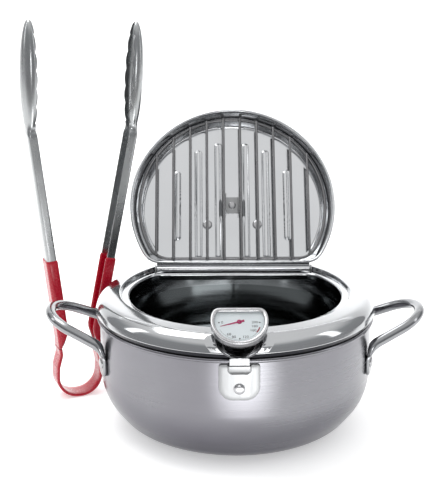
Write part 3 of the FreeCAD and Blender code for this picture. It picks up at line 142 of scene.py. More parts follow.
sweep_half, sweep_front, sweep_back, sweep_bend, sweep_top = 3.2, -2.4, 1.6, 0.8, 3.2
sweep = [(sweep_front, 0), (sweep_back, 0)]
for bend in fan(0, 90, 12)[1:]:
    sweep.append((sweep_back + sweep_bend * sin(bend), sweep_bend - sweep_bend * cos(bend)))
sweep.append((sweep_back + sweep_bend, sweep_top))
sweep_points = [Vector((side * sweep_half, y, z)) for y, z in sweep for side in (-1, 1)]
sweep_faces = [(2 * i, 2 * i + 1, 2 * i + 3, 2 * i + 2) for i in range(len(sweep) - 1)]
backdrop = add_mesh("backdrop", sweep_points, sweep_faces, 60)
board, board_tree, board_shader = new_material("white_board")
board_spot = add_node(board_tree, "TexCoord").outputs["Object"]
board_split = add_node(board_tree, "SeparateXYZ", board_spot)
# Painted shade: the board's colour and its faint glow both darken towards the front.
board_painted_shade = add_node(board_tree, "MapRange", board_split.outputs["Y"],
                       From_Min=-0.8, From_Max=-0.3, To_Min=0.25, To_Max=0.93)
for socket in ("Base Color", "Emission Color"):
    link(board_tree, board_painted_shade.outputs[0], board_shader.inputs[socket])
# Painted light: a round pool on the board glows far brighter than the rest of it.
painted_pool_centre = (0.03, -0.36, 0)
painted_pool_distance = add_node(board_tree, "VectorMath", board_spot, operation="DISTANCE")
painted_pool_distance.inputs[1].default_value = painted_pool_centre
painted_light_pool = add_node(board_tree, "MapRange", painted_pool_distance.outputs["Value"],
                interpolation_type="SMOOTHSTEP", From_Min=0.04, From_Max=0.17, To_Min=6.0,
                To_Max=0.42)
link(board_tree, painted_light_pool.outputs[0], board_shader.inputs["Emission Strength"])
set_up(board_shader, Roughness=0.85, Specular_IOR_Level=0.1)
backdrop.data.materials.append(board)


def soft_lamp(name, place, aim, width, height, power):
    """A flat lamp at a place, turned to an aim, with lengths in metres and power in watts."""
    lamp = bpy.data.lights.new(name, "AREA")
    lamp.shape = "RECTANGLE"
    lamp.size = width
    lamp.size_y = height
    lamp.energy = power
    holder = bpy.data.objects.new(name, lamp)
    holder.location = place
    holder.rotation_euler = (Vector(aim) - Vector(place)).to_track_quat("-Z", "Y").to_euler()
    bpy.context.scene.collection.objects.link(holder)


soft_lamp("top_lamp", (-0.5, 0.3, 1.6), (0, 0, 0.1), 1.3, 0.8, 12)
soft_lamp("back_lamp", (0.0, 1.25, 1.3), (0, 1.9, 0.5), 2.6, 1.0, 22)
soft_lamp("left_lamp", (-1.6, 0.1, 0.9), (0, 0, 0.12), 0.3, 0.9, 2)
soft_lamp("right_lamp", (1.6, -0.2, 0.8), (0, 0, 0.12), 0.3, 1.0, 2.2)
soft_lamp("front_lamp", (0.05, -1.9, 0.4), (0, 0, 0.06), 0.34, 0.34, 2.6)

world = bpy.data.worlds.new("studio")
world.use_nodes = True
bpy.context.scene.world = world
sky = world.node_tree
background = sky.nodes["Background"]
heading_up = add_node(sky, "SeparateXYZ",
                      add_node(sky, "TexCoord").outputs["Generated"]).outputs["Z"]
link(sky, ramp(sky, heading_up, (0.0, (0.34, 0.34, 0.35)), (0.42, (0.38, 0.39, 0.40)), (0.72, 0.9)),
     background.inputs["Color"])
set_up(background, Strength=1.15)
bpy.context.scene.view_settings.view_transform = "Standard"

# ----- pot body
# Deep-drawn stainless steel, one millimetre thick, with its rim rolled outwards. The outside
# has a fine satin turned all round, with painted shade that makes it darker and a little blue
# low down; the inside is polished.
pot_radius = 117.5
pot_sheet = 1.0
rim_height = 99.0
rim_bead = 2.0
rim_circle = 118.0
base_thickness = 3.0
slant = radians(38)
turn_height = 34.0


def corner_arc(spot, back, ahead, radius, pieces):
    """The rounding of a corner between the two directions that leave it."""
    half = back.angle(ahead) / 2
    centre = spot + (back + ahead).normalized() * (radius / sin(half))
    start, end = (spot + way * (radius / tan(half)) - centre for way in (back, ahead))
    turn = start.angle(end)
    return [centre + start * (sin((1 - k / pieces) * turn) / sin(turn))
            + end * (sin(k / pieces * turn) / sin(turn)) for k in range(pieces + 1)]


def rounded(corners, closed=False, step=7):
    """Corner points, each with an optional rounding radius, as a line that bends in steps of a
    few degrees."""
    line = []
    count = len(corners)
    for i, corner in enumerate(corners):
        spot = Vector(corner[0])
        radius = corner[1] if len(corner) > 1 else 0
        if radius == 0 or (not closed and i in (0, count - 1)):
            line.append(spot)
            continue
        back = (Vector(corners[i - 1][0]) - spot).normalized()
        ahead = (Vector(corners[(i + 1) % count][0]) - spot).normalized()
        pieces = max(2, ceil((pi - back.angle(ahead)) / radians(step)))
        line += corner_arc(spot, back, ahead, radius, pieces)
    return line


def divided(line, longest):
    """Adds points so that no stretch of the line is longer than the given length."""
    fine = [line[0]]
    for a, b in zip(line, line[1:]):
        parts = max(1, ceil((b - a).length / longest))
        fine += [a.lerp(b, k / parts) for k in range(1, parts + 1)]
    return fine


def polar(reach, turn, level):
    """A point from its distance and its turn about Z, and its height."""
    return reach * cos(turn), reach * sin(turn), level


def turned(name, loop, steps=256, closed=True):
    """Turns a section of radius and height, in millimetres, about Z."""
    points, faces = [], []
    count = len(loop)
    for i in range(steps):
        angle = 2 * pi * i / steps
        for spot in loop:
            points.append(Vector(polar(max(spot[0], 0), angle, spot[1])) * mm)
    runs = count if closed else count - 1
    for i in range(steps):
        here, there = i * count, ((i + 1) % steps) * count
        for k in range(runs):
            after = (k + 1) % count
            faces.append((here + k, there + k, there + after, here + after))
    return add_mesh(name, points, faces)


def pot_line(inset):
    """The pot's outline from the middle of its floor to its rim, moved in by an inset."""
    reach = (turn_height - base_thickness) * tan(slant)
    return rounded([
        ((0, base_thickness + inset),),
        ((pot_radius - reach - inset * tan((pi / 2 - slant) / 2),
          base_thickness + inset), 30 - inset),
        ((pot_radius - inset, turn_height + inset * tan(slant / 2)), 50 - inset),
        ((pot_radius - inset, rim_height - 1.6),),
    ], step=3)


rolled_rim = []
for bend in fan(-104, 325, 24):
    rolled_rim.append(Vector((rim_circle + rim_bead * cos(bend),
                              rim_height + rim_bead * sin(bend))))
pot = turned("pot_shell", pot_line(0) + rolled_rim + pot_line(pot_sheet)[::-1], 320)


def speckled(tree, shader, scale, **tones):
    """Lets a noise vary some inputs of a shader, each between the stops of a ramp."""
    noise = add_node(tree, "TexNoise", Scale=scale)
    for name, stops in tones.items():
        link(tree, ramp(tree, noise.outputs["Fac"], *stops), shader.inputs[name.replace("_", " ")])
    return noise


def satin_steel(name, colour, low_rough, high_rough, grain, grain_depth, blotch=12,
                blotch_tint=None, low_painted_shade=None):
    """Stainless steel: grain lines stretched along the polish, and soft uneven patches."""
    material, tree, shader = new_material(name)
    set_up(shader, Metallic=1)
    spot = add_node(tree, "TexCoord").outputs["Object"]
    stretch = add_node(tree, "Mapping", spot, Scale=grain)
    lines = add_node(tree, "TexNoise", stretch.outputs[0], Scale=1.0, Detail=5)
    patches = add_node(tree, "TexNoise", spot, Scale=blotch, Detail=4)
    tint = blotch_tint or tuple(channel * 0.9 for channel in colour)
    mottled = ramp(tree, patches.outputs["Fac"], (0.3, tint), (0.65, colour))
    # Painted shade: the colour is made darker, and a little blue, towards the bottom.
    if low_painted_shade:
        split = add_node(tree, "SeparateXYZ", spot)
        tall = add_node(tree, "Math", split.outputs["Z"], operation="MULTIPLY")
        tall.inputs[1].default_value = 10
        shade = add_node(tree, "Mix", data_type="RGBA", blend_type="MULTIPLY")
        shade.inputs["Factor"].default_value = 1
        link(tree, mottled, shade.inputs["A"])
        link(tree, ramp(tree, tall.outputs[0], (0.05, low_painted_shade), (0.55, 1.0)), shade.inputs["B"])
        mottled = shade.outputs["Result"]
    link(tree, mottled, shader.inputs["Base Color"])
    blend = add_node(tree, "Math", lines.outputs["Fac"], operation="MULTIPLY")
    link(tree, patches.outputs["Fac"], blend.inputs[1])
    rough = ramp(tree, blend.outputs[0], (0.1, low_rough), (0.45, high_rough))
    link(tree, rough, shader.inputs["Roughness"])
    bump = add_node(tree, "Bump", Strength=grain_depth, Distance=0.0002)
    link(tree, lines.outputs["Fac"], bump.inputs["Height"])
    link(tree, bump.outputs[0], shader.inputs["Normal"])
    return material


def fit(piece, material, body, node=None):
    """Gives a piece its material and slot, and fixes it to a body, in a solid's place."""
    piece.data.materials.append(material)
    if node:
        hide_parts(node)
    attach(piece, body)


pot_outside = satin_steel("pot_outside", (0.235, 0.235, 0.25), 0.2, 0.3, (5, 5, 700), 0.12,
                          blotch=9, blotch_tint=(0.195, 0.19, 0.21),
                          low_painted_shade=(0.55, 0.54, 0.6))
pot_inside = satin_steel("pot_inside", (0.27, 0.285, 0.29), 0.05, 0.12, (8, 8, 400), 0.04)
fit(pot, pot_outside, "pot", "pot_body")
pot.data.materials.append(pot_inside)
for face in pot.data.polygons:
    spot = face.center
    across = hypot(spot.x, spot.y)
    inward = face.normal.x * spot.x + face.normal.y * spot.y < 0 or face.normal.z > 0.3
    if inward and across < (rim_circle - rim_bead + 0.6) * mm and spot.z < rim_height * mm:
        face.material_index = 1

# ----- base disc
# A thick plain disc pressed on under the pot spreads the heat. Its edge, with both corners
# eased, shows as a thin step.
base_radius = 75.0
base = turned("heat_disc", rounded([
    ((0, 0),), ((base_radius - 1, 0), 0.6), ((base_radius, 1), 0.5),
    ((base_radius, base_thickness), 0.3), ((0, base_thickness),)], step=20), 256)
disc_steel = satin_steel("heat_disc_steel", (0.42, 0.42, 0.43), 0.25, 0.4, (300, 300, 20), 0.1)
fit(base, disc_steel, "pot", "base_disc")

# ----- loop handles
# Each is one round rod of about nine millimetres, bent to a loop. Its two ends are hammered flat
# and lie against the wall, each held by a rivet.
handle_rod = 4.45
handle_reach = 160.5
handle_top = 102.0
handle_leave = 82.0
foot_low = 56.0
foot_half_width = 7.0
foot_half_thickness = 1.6
foot_swell_start, foot_swell = 15, 13
foot_tip = 5
foot_bend, outer_bend = 9, 31
outer_half_width = 24
rod_line = pot_radius + handle_rod + 0.4
foot_spread = 37
foot_angle = asin(foot_spread / pot_radius)


def skin(name, rings, closed=False, smooth_angle=35):
    """Joins rings of as many points, given in millimetres, into one surface."""
    count = len(rings[0])
    points = [Vector(spot) * mm for ring in rings for spot in ring]
    faces = []
    spans = len(rings) if closed else len(rings) - 1
    for i in range(spans):
        here, there = i * count, ((i + 1) % len(rings)) * count
        for k in range(count):
            after = (k + 1) % count
            faces.append((here + k, here + after, there + after, there + k))
    if not closed:
        faces.append(tuple(range(count)))
        faces.append(tuple(range((len(rings) - 1) * count, len(rings) * count)))
    return add_mesh(name, points, faces, smooth_angle)


def heading(line, i):
    """The direction of a line at one of its points."""
    return (line[min(i + 1, len(line) - 1)] - line[max(i - 1, 0)]).normalized()


def swept(name, route, side, section, smooth_angle=35):
    """Draws a section along a route. Section gives, for a length along the whole way, its
    outline as pairs across and up; side is the direction across at the start."""
    lengths = [0]
    for a, b in zip(route, route[1:]):
        lengths.append(lengths[-1] + (b - a).length)
    rings = []
    across = Vector(side)
    for i, spot in enumerate(route):
        ahead = heading(route, i)
        across = (across - ahead * across.dot(ahead)).normalized()
        up = ahead.cross(across)
        rings.append([spot + across * a + up * b for a, b in section(lengths[i], lengths[-1])])
    return skin(name, rings, smooth_angle=smooth_angle)


def circle(radius, steps):
    """Pairs of across and up, once round."""
    return [(radius * cos(2 * pi * k / steps), radius * sin(2 * pi * k / steps))
            for k in range(steps)]


def softened(value):
    """A share from 0 to 1 that starts and ends gently."""
    value = max(0.0, min(1.0, value))
    return value * value * (3 - 2 * value)


def handle_section(along, whole):
    """A flat pad at both ends that swells into the round rod."""
    from_end = min(along, whole - along)
    roundness = softened((from_end - foot_swell_start) / foot_swell)
    width = foot_half_width + (handle_rod - foot_half_width) * roundness
    depth = foot_half_thickness + (handle_rod - foot_half_thickness) * roundness
    if from_end < foot_tip:
        narrow = sqrt(max(0.0, 1 - ((foot_tip - from_end) / 5.4) ** 2))
        width *= 0.35 + 0.65 * narrow
        depth *= 0.6 + 0.4 * sqrt(narrow)
    power = 0.3 + 0.7 * roundness
    return [(copysign(abs(c) ** power, c) * width, copysign(abs(s) ** power, s) * depth)
            for c, s in circle(1, 32)]


handle_steel = satin_steel("handle_steel", (0.30, 0.305, 0.315), 0.13, 0.24, (120, 120, 120), 0.03,
                           blotch=40)
for name, way in (("left_handle_loop", -1), ("right_handle_loop", 1)):
    pad_line = pot_radius + foot_half_thickness
    far_x, far_y = rod_line * cos(foot_angle), rod_line * sin(foot_angle)
    near_x, near_y = pad_line * cos(foot_angle), pad_line * sin(foot_angle)
    half = [
        ((way * near_x, -near_y, foot_low),),
        ((way * near_x, -near_y, handle_leave - 12.5), foot_bend),
        ((way * far_x, -far_y, handle_leave), foot_bend),
        ((way * handle_reach, -outer_half_width, handle_top), outer_bend),
    ]
    mirrored = [((x, -y, z), *bend) for (x, y, z), *bend in half[::-1]]
    route = divided(rounded(half + mirrored, step=4), 1.5)
    tangential = (way * sin(foot_angle), cos(foot_angle), 0)
    handle = swept(name, route, tangential, handle_section, 60)
    fit(handle, handle_steel, "pot", name.replace("_loop", ""))

# ----- handle rivets
# Four solid steel rivets, one through each foot of a handle. Each has a low domed head
# outside and is hammered flat inside the pot.


def placed(piece, matrix):
    """Moves a piece's own points, with lengths in metres."""
    piece.data.transform(matrix)
    return piece


def moved(*place):
    """The way to a place in millimetres."""
    return Matrix.Translation(Vector(place) * mm)


def facing_out(place, direction):
    """The way to a place, with Z turned to point along a direction."""
    return moved(*place) @ Vector(direction).to_track_quat("Z", "Y").to_matrix().to_4x4()


def joined(name, parts):
    """One piece out of several."""
    work = bmesh.new()
    for part in parts:
        work.from_mesh(part.data)
    mesh = bpy.data.meshes.new(name)
    work.to_mesh(mesh)
    work.free()
    for part in parts:
        bpy.data.objects.remove(part)
    return shown(name, mesh)


# Sizes of the solid rivets: the head's radius and height, the shank's radius, the tail's height.
rivet_head, rivet_rise, rivet_shank, rivet_tail = 4.5, 1.7, 2.5, 0.9
foot_thickness, foot_rivet_level = 3.2, 66.5


def rivet_line(grip):
    """Half a rivet's outline, from the crown of its head to the end of its tail."""
    line = []
    for step in range(9):
        turn = pi / 2 * step / 8
        line.append((rivet_head * sin(turn), rivet_rise * (0.25 + 0.75 * cos(turn))))
    end = -grip - rivet_tail
    return line + [(rivet_head, 0), (rivet_shank, 0), (rivet_shank, -grip), (rivet_head, -grip),
                   (rivet_head, -grip - 0.5 * rivet_tail), (rivet_head * 0.8, end), (0, end)]


rivet_metal = satin_steel("rivet_steel", (0.42, 0.42, 0.43), 0.16, 0.3, (300, 300, 300), 0.05,
                          blotch=150)
heads = []
for azimuth in (foot_angle, -foot_angle, pi - foot_angle, pi + foot_angle):
    outward = Vector(polar(1, azimuth, 0))
    head = turned("rivet_part", rivet_line(foot_thickness + pot_sheet), 32, closed=False)
    place = outward * (pot_radius + foot_thickness) + Vector((0, 0, foot_rivet_level))
    heads.append(placed(head, facing_out(place, outward)))
rivets = joined("handle_rivet_heads", heads)
fit(rivets, rivet_metal, "pot", "handle_rivets")

# ----- catch plate
# A plate of thick sheet, bent to the wall and riveted to it. The pocket pressed in its top
# takes the collar's tab and keeps the collar from turning.


def rounded_box(x, y, half_x, half_y, radius, level, steps=5):
    """A level rectangle with round corners, as a ring of points."""
    ring = []
    for quarter, (sx, sy) in enumerate(((1, 1), (-1, 1), (-1, -1), (1, -1))):
        for k in range(steps + 1):
            turn = pi / 2 * (quarter + k / steps)
            ring.append((x + sx * (half_x - radius) + radius * cos(turn),
                         y + sy * (half_y - radius) + radius * sin(turn), level))
    return ring


catch_half = 16.5
catch_low, catch_top = 66.0, 96.4
catch_middle = (catch_low + catch_top) / 2
catch_thickness, catch_rivet_level = 1.5, 76
pocket_back = 117
corners = [(catch_half - 0.2, catch_top - 0.2, 2.2), (-catch_half + 0.2, catch_top - 0.2, 2.2),
           (-catch_half + 0.2, catch_low + 0.2, 11), (catch_half - 0.2, catch_low + 0.2, 11)]
outline = rounded([((x, z), r) for x, z, r in corners], closed=True)
outline = divided(outline + outline[:1], 1.2)[:-1]
plate_rings = []
for inset, depth in [(0, 0.05), (0, 1.0), (0.15, 1.35)] + [
        (inset, catch_thickness) for inset in (0.5, 4, 8, 12, 15.2)]:
    ring = []
    for spot in outline:
        x = spot[0] * (1 - inset / catch_half)
        z = catch_middle + (spot[1] - catch_middle) * (1 - inset / catch_half)
        reach = pot_radius + depth
        ring.append((x, -sqrt(reach * reach - x * x), z))
    plate_rings.append(ring)
catch_sheet = skin("catch_part", plate_rings)
pocket_rings = []
for half_x, front, radius, level in (
        (6.2, 118.2, 0.5, 87.2), (8.0, 120.2, 1.4, 89.2), (9.0, 122.4, 1.6, 91.0),
        (9.3, 123.0, 1.6, 92.2), (9.3, 123.1, 1.6, 96.1), (9.1, 122.9, 1.5, 96.3)):
    deep = front - pocket_back
    pocket_rings.append(rounded_box(0, -(front + pocket_back) / 2, half_x, deep / 2,
                                    min(radius, deep / 2.1), level))
for level in (96.3, 95.9, 92.3):
    spread = 0.15 if level > 96 else 0
    pocket_rings.append(rounded_box(0, -121.5, 8.35 + spread, 0.85 + spread, 0.5, level))
catch_pocket = skin("catch_part_2", pocket_rings)
catch = joined("catch_plate_sheet", [catch_sheet, catch_pocket])
bright_sheet = satin_steel("bright_sheet", (0.33, 0.335, 0.34), 0.3, 0.45, (700, 20, 20), 0.1,
                           blotch=60)
fit(catch, bright_sheet, "pot", "catch_plate")

catch_pin = turned("catch_rivet_head", rivet_line(catch_thickness + pot_sheet), 32, closed=False)
placed(catch_pin, facing_out((0, -pot_radius - catch_thickness, catch_rivet_level), (0, -1, 0)))
fit(catch_pin, rivet_metal, "pot", "catch_rivet")

# ----- splash collar
# Polished sheet, spun to a ring that drops into the pot and rests on its rim, and domed
# over to a sunk ledge. The ledge has a D-shaped opening with a lip turned down round it.
collar_sheet = 0.8
half_sheet = collar_sheet / 2
ledge_top = 116.5
ledge_middle = ledge_top - half_sheet
shoulder = rim_height + rim_bead + 0.3 + half_sheet
opening_radius, opening_chord, opening_corner = 91.5, 57.0, 12.0


def both_sides(line, half):
    """The two sides of a bent sheet whose middle line is given."""
    left, right = [], []
    for i, spot in enumerate(line):
        ahead = heading(line, i)
        normal = Vector((-ahead.y, ahead.x))
        left.append(spot + normal * half)
        right.append(spot - normal * half)
    return left, right


def thickened(line, thickness):
    """The closed outline of a bent sheet with round edges."""
    left, right = both_sides(line, thickness / 2)
    return (left + turn_about(line[-1], left[-1] - line[-1]) + right[::-1]
            + turn_about(line[0], right[0] - line[0]))


def turn_about(centre, arm, steps=5):
    """Half a turn, clockwise, from the end of an arm, without its two end points."""
    spots = []
    for k in range(1, steps):
        turn = -pi * k / steps
        spots.append(centre + Vector((arm.x * cos(turn) - arm.y * sin(turn),
                                      arm.x * sin(turn) + arm.y * cos(turn))))
    return spots


ring_steps = 480


def d_reach(angle, radius, chord, corner):
    """How far a D, a circle cut off straight towards +Y, reaches from its centre."""
    way = Vector((cos(angle), sin(angle)))
    corner_y = chord - corner
    corner_x = sqrt((radius - corner) ** 2 - corner_y ** 2)
    touch = atan2(corner_y, corner_x)
    bearing = atan2(way.y, abs(way.x))
    if bearing <= touch:
        return radius
    if bearing >= atan2(chord, corner_x):
        return chord / way.y
    spot = Vector((corner_x, corner_y))
    folded = Vector((abs(way.x), way.y))
    along = folded.dot(spot)
    return along + sqrt(max(0, along * along - spot.length_squared + corner * corner))


def d_ring(radius, chord, corner, level):
    """A level ring of points along a D, or along a circle where the corner is 0."""
    ring = []
    for k in range(ring_steps):
        angle = 2 * pi * k / ring_steps
        reach = d_reach(angle, radius, chord, corner) if corner else radius
        ring.append(polar(reach, angle, level))
    return ring


def opening_ring(inset, level):
    """A level ring of points round the ledge's opening."""
    return d_ring(opening_radius + inset, opening_chord + inset, opening_corner + inset, level)


collar_line = rounded([
    ((114.7, 88.4),),
    ((114.7, shoulder), 3 * half_sheet),
    ((118.6, shoulder), 2 * half_sheet),
    ((120.6, 105.6), 2 * half_sheet),
    ((117.4, 117.0), 13),
    ((99.6, 119.6), 3 * half_sheet),
    ((98.2, ledge_middle), 2 * half_sheet),
    ((95.5, ledge_middle),),
], step=5)
lower, upper = both_sides(divided(collar_line, 3), half_sheet)
lip_steps = 5
upper_rings, lower_rings = ([d_ring(spot[0], 0, 0, spot[1]) for spot in side]
                            for side in (upper, lower))
lip_bend = 1.8
for k in range(lip_steps + 1):
    turn = pi / 2 * k / lip_steps
    upper_rings.append(opening_ring(lip_bend - lip_bend * sin(turn),
                                    ledge_top - lip_bend + lip_bend * cos(turn)))
    tight = lip_bend - collar_sheet
    lower_rings.append(opening_ring(lip_bend - tight * sin(turn),
                                    ledge_top - lip_bend + tight * cos(turn)))
upper_rings.append(opening_ring(0, ledge_top - 5.7))
upper_rings.append(opening_ring(half_sheet, ledge_top - 6))
lower_rings.append(opening_ring(collar_sheet, ledge_top - 5.7))
collar = skin("collar_shell", upper_rings + lower_rings[::-1], closed=True)


def spun(degrees, axis):
    """A turn about an axis."""
    return Matrix.Rotation(radians(degrees), 4, axis)


dial_elevation = 55.0
cup_place = (0, -112, 116.2)
cup_frame = moved(*cup_place) @ spun(90 - dial_elevation, "X")
cup_radius, cup_floor, cup_depth = 19.8, 13.8, 8.3


def cut_away(piece, tool):
    """Cuts a tool's room out of a piece and clears the tool away."""
    change = piece.modifiers.new("room", "BOOLEAN")
    change.operation = "DIFFERENCE"
    change.solver = "EXACT"
    change.object = tool
    ready = piece.evaluated_get(bpy.context.evaluated_depsgraph_get())
    mesh = bpy.data.meshes.new_from_object(ready)
    piece.modifiers.remove(change)
    piece.data = mesh
    mesh.set_sharp_from_angle(angle=radians(35))
    bpy.data.objects.remove(tool)


room = turned("cup_room", [(0, -cup_depth + 0.3), (cup_floor, -cup_depth + 0.3), (cup_radius, 0),
                           (cup_radius, cup_radius), (0, cup_radius)], 128, closed=False)
cut_away(collar, placed(room, cup_frame))
facet_inner, facet_outer, facet_height = 12, 27, 14
facet_section = ((facet_inner, 0), (facet_outer, 0.02), (facet_outer, facet_height),
                 (facet_inner, facet_height))
facet_room = skin("facet_room", [[polar(reach, turn, level) for reach, level in facet_section]
                                 for turn in fan(-196, 212, 80)])
cut_away(collar, placed(facet_room, cup_frame))
collar_steel = satin_steel("collar_steel", (0.50, 0.51, 0.52), 0.07, 0.17, (6, 6, 500), 0.03,
                           blotch=10)
fit(collar, collar_steel, "collar", "collar_ring")
collar.data.materials.append(satin_steel("shadowed_seam", (0.03, 0.03, 0.035), 0.15, 0.3,
                                         (6, 6, 500), 0.03, blotch=10))
# The low band outside is toned dark, for the shadow between the collar and the rim.
seam_top, seam_inside = rim_height + 6.4, 114.9
for face in collar.data.polygons:
    if face.center.z < seam_top * mm and face.center.xy.length > seam_inside * mm:
        face.material_index = 1

# ----- thermometer cup
# A pressed cup let into the front of the collar, tilted back to face the cook. A drawn flare
# carries its edge down to the collar, and the thermometer's stem goes through its floor.
flare_reach = 27.4
collar_reach, flare_floor = 120.75, 105.4


def flare_drop(turn):
    """How far the flare's outer edge lies below the cup's mouth; nearly level at the sides."""
    return 0.35 + 6.6 * softened((-sin(turn) - 0.35) / 0.65)


flare_rings = []
for turn in fan(-192, 204, 160):
    drop = flare_drop(turn)
    ring = []
    for reach, level in ((cup_radius - collar_sheet, -1.1), (cup_radius - 0.7, -0.25),
                         (cup_radius - 0.2, -0.1), (22.2, -0.15 - drop * 0.3),
                         (24.8, -0.2 - drop * 0.65), (flare_reach, -0.2 - drop),
                         (flare_reach - 0.5, -0.7 - drop), (24.5, -0.8 - drop * 0.65),
                         (22, -0.8 - drop * 0.3)):
        place = Vector(polar(reach, turn, level)) * mm
        place = cup_frame @ place / mm
        flat = hypot(place.x, place.y)
        share = min(1, collar_reach / flat)
        ring.append(Vector((place.x * share, place.y * share, max(place.z, flare_floor))))
    flare_rings.append(ring)
flare = skin("cup_flare_skirt", flare_rings)
fit(flare, collar_steel, "collar", "cup_flare")

cup_line = rounded([
    ((1.95, -cup_depth + half_sheet),),
    ((cup_floor - half_sheet, -cup_depth + half_sheet), 2),
    ((cup_radius - half_sheet, -0.3),),
], step=15)
cup_shell = turned("cup_shell", thickened(cup_line, collar_sheet), 160)
placed(cup_shell, cup_frame)
cup_steel = satin_steel("cup_steel", (0.3, 0.3, 0.31), 0.1, 0.2, (60, 60, 60), 0.03, blotch=40)
fit(cup_shell, cup_steel, "collar", "thermometer_cup")

tab = skin("collar_tab", [
    [(x, -y, z) for x, z, y in rounded_box(0, 97.7, 8 - inset, 5.1 - inset, 1.6 - inset, front)]
    for inset, front in ((0.35, 121.0), (0, 121.25), (0, 121.75), (0.35, 122.0))])
fit(tab, bright_sheet, "collar", "collar_tongue")

# ----- hinge
# Two small ears of sheet, spot-welded to the ledge, carry a plain rod of three millimetres.
# The lid's curled edge turns on it.
hinge_y, hinge_z = 62.0, 119.7
hinge_frame = moved(0, hinge_y, hinge_z)
ear_half = 3.4


def extruded(name, outline, start, end, bevel=0.15):
    """A plate or bar drawn along X from an outline in Y and Z, its edges eased."""
    centre = sum((Vector(spot) for spot in outline), Vector((0, 0))) / len(outline)
    rings = []
    for x, shrink in ((start, bevel), (start + bevel, 0), (end - bevel, 0), (end, bevel)):
        arms = [Vector(spot) - centre for spot in outline]
        rings.append([(x, *(centre + arm * (1 - shrink / max(arm.length, 1)))) for arm in arms])
    return skin(name, rings)


ear_outline = rounded([((-ear_half, ledge_top - hinge_z), 0), ((ear_half, ledge_top - hinge_z), 0),
                       ((ear_half, ear_half), 3.0), ((-ear_half, ear_half), 3.0)], closed=True)
for name, node, low, high in (("left_ear_plate", "left_hinge_ear", -72.0, -70.8),
                              ("right_ear_plate", "right_hinge_ear", 70.8, 72.0)):
    ear = placed(extruded(name, ear_outline, low, high), hinge_frame)
    fit(ear, bright_sheet, "collar", node)

rod_line_x = [(-72, 0.9), (-71.7, 1.3), (-71.3, 1.5), (71.3, 1.5), (71.7, 1.3), (72, 0.9)]
rod_rings = [[(x, a, b) for a, b in circle(radius, 24)] for x, radius in rod_line_x]
rod = placed(skin("hinge_pin", rod_rings), hinge_frame)
fit(rod, rivet_metal, "collar", "hinge_rod")

# ----- lid
# Pressed from 0.8 mm sheet with sloping walls, six stiffening grooves and a rolled rim. It
# stands open on the hinge, its rear edge carrying a leaf curled round the hinge rod.
lid_open = 122
lid_frame = hinge_frame @ spun(-lid_open, "X")
lid_sheet = 0.8
lid_depth = 15.0
bead_level = -1.4
lid_bead = 1.5
lid_rim, lid_top, lid_bend = (94.5, 56, 18), (84.5, 55.1, 22), 5
rib_lines = [(side * offset, start, end)
             for offset, start, end in ((13.3, 17, 126), (31.8, 17, 119), (51.5, 35, 98))
             for side in (-1, 1)]


def groove_depth(x, y):
    """How deep the pressed grooves are at a spot of the lid's top."""
    depth = 0
    for offset, start, end in rib_lines:
        beyond = max(-y - end, start + y, 0)
        away = hypot(x - offset, beyond)
        depth = max(depth, 1.0 * softened(1.5 - away / 2.2))
    return depth


def lid_profile(angle, inset):
    """The lid's wall at an angle, as radius and level, from its rim to where its top is flat."""
    low, high = (d_reach(angle, *(size - inset for size in edge)) for edge in (lid_rim, lid_top))
    foot, corner = Vector((low, bead_level)), Vector((high, lid_depth - inset))
    bend = corner_arc(corner, (foot - corner).normalized(), Vector((-1, 0)), lid_bend - inset, 8)
    return [foot + (bend[0] - foot) * share for share in (0.1, 0.3, 0.55, 0.8)] + bend


top_shares = [0.995 ** 2, 0.985, 0.97] + [1 - k / 80 for k in range(4, 80)] + [0.006]
columns = []
for k in range(ring_steps):
    angle = 2 * pi * k / ring_steps
    c, s = cos(angle), sin(angle)
    sides = []
    for inset in (lid_sheet, 0):
        line, top = lid_profile(angle, inset), lid_depth - inset
        side = [(spot[0] * c, spot[0] * s - hinge_y, spot[1]) for spot in line]
        for share in top_shares:
            reach = line[-1][0] * share
            x, y = reach * c, reach * s - hinge_y
            side.append((x, y, top - groove_depth(x, y)))
        sides.append(side)
    low = d_reach(angle, *lid_rim)
    bead = []
    for turn in fan(62, -305, 12):
        reach = low + lid_bead * cos(turn)
        bead.append((reach * c, reach * s - hinge_y, bead_level + lid_bead * sin(turn)))
    columns.append(sides[1][::-1] + bead + sides[0])
lid = placed(skin("lid_sheet", list(zip(*columns))), lid_frame)
lid_steel = satin_steel("lid_steel", (0.62, 0.63, 0.645), 0.08, 0.16, (90, 8, 8), 0.012, blotch=8)
fit(lid, lid_steel, "lid", "lid_pan")

curl_radius = 2.0
curl = [Vector(spot) for spot in ((-6.6, -0.5), (-5.2, 0.1), (-4.0, 1.0), (-3.0, 1.5))]
for turn in fan(150, -320, 13):
    curl.append(Vector((curl_radius * cos(turn), curl_radius * sin(turn))))
leaf = placed(extruded("lid_hinge_leaf", [tuple(spot) for spot in thickened(curl, 0.76)], -70.3,
                       70.3, 0.1), lid_frame)
fit(leaf, lid_steel, "lid")

# ----- lid handle
# A bow of six-millimetre rod welded to two round feet, riveted through the lid's top.
lid_away, lid_span, bow_height = 47.0, 23.5, 39
bow_route = [Vector(spot) for spot in divided(rounded([
    ((-lid_span, -lid_away, lid_depth + 1),), ((-lid_span, -lid_away, bow_height), 10),
    ((lid_span, -lid_away, bow_height), 10), ((lid_span, -lid_away, lid_depth + 1),)]), 3)]
bow_foot = [(0, 0), (5.7, 0), (6, 0.3), (6, 1.0), (5.5, 1.5), (4.2, 1.5), (3.4, 1.9), (3.0, 2.8),
            (0, 2.8)]


def pair_on_lid(line, level):
    """Two like turned parts, one at each end of the lid's handle."""
    return [placed(turned("lid_part", line, 40, closed=False),
                   moved(side * lid_span, -lid_away, level)) for side in (-1, 1)]


bow_rod = swept("lid_part", bow_route, (0, 1, 0), lambda along, whole: circle(3, 24))
bow = placed(joined("lid_handle_bow", [bow_rod] + pair_on_lid(bow_foot, lid_depth)), lid_frame)
fit(bow, handle_steel, "lid", "lid_handle")

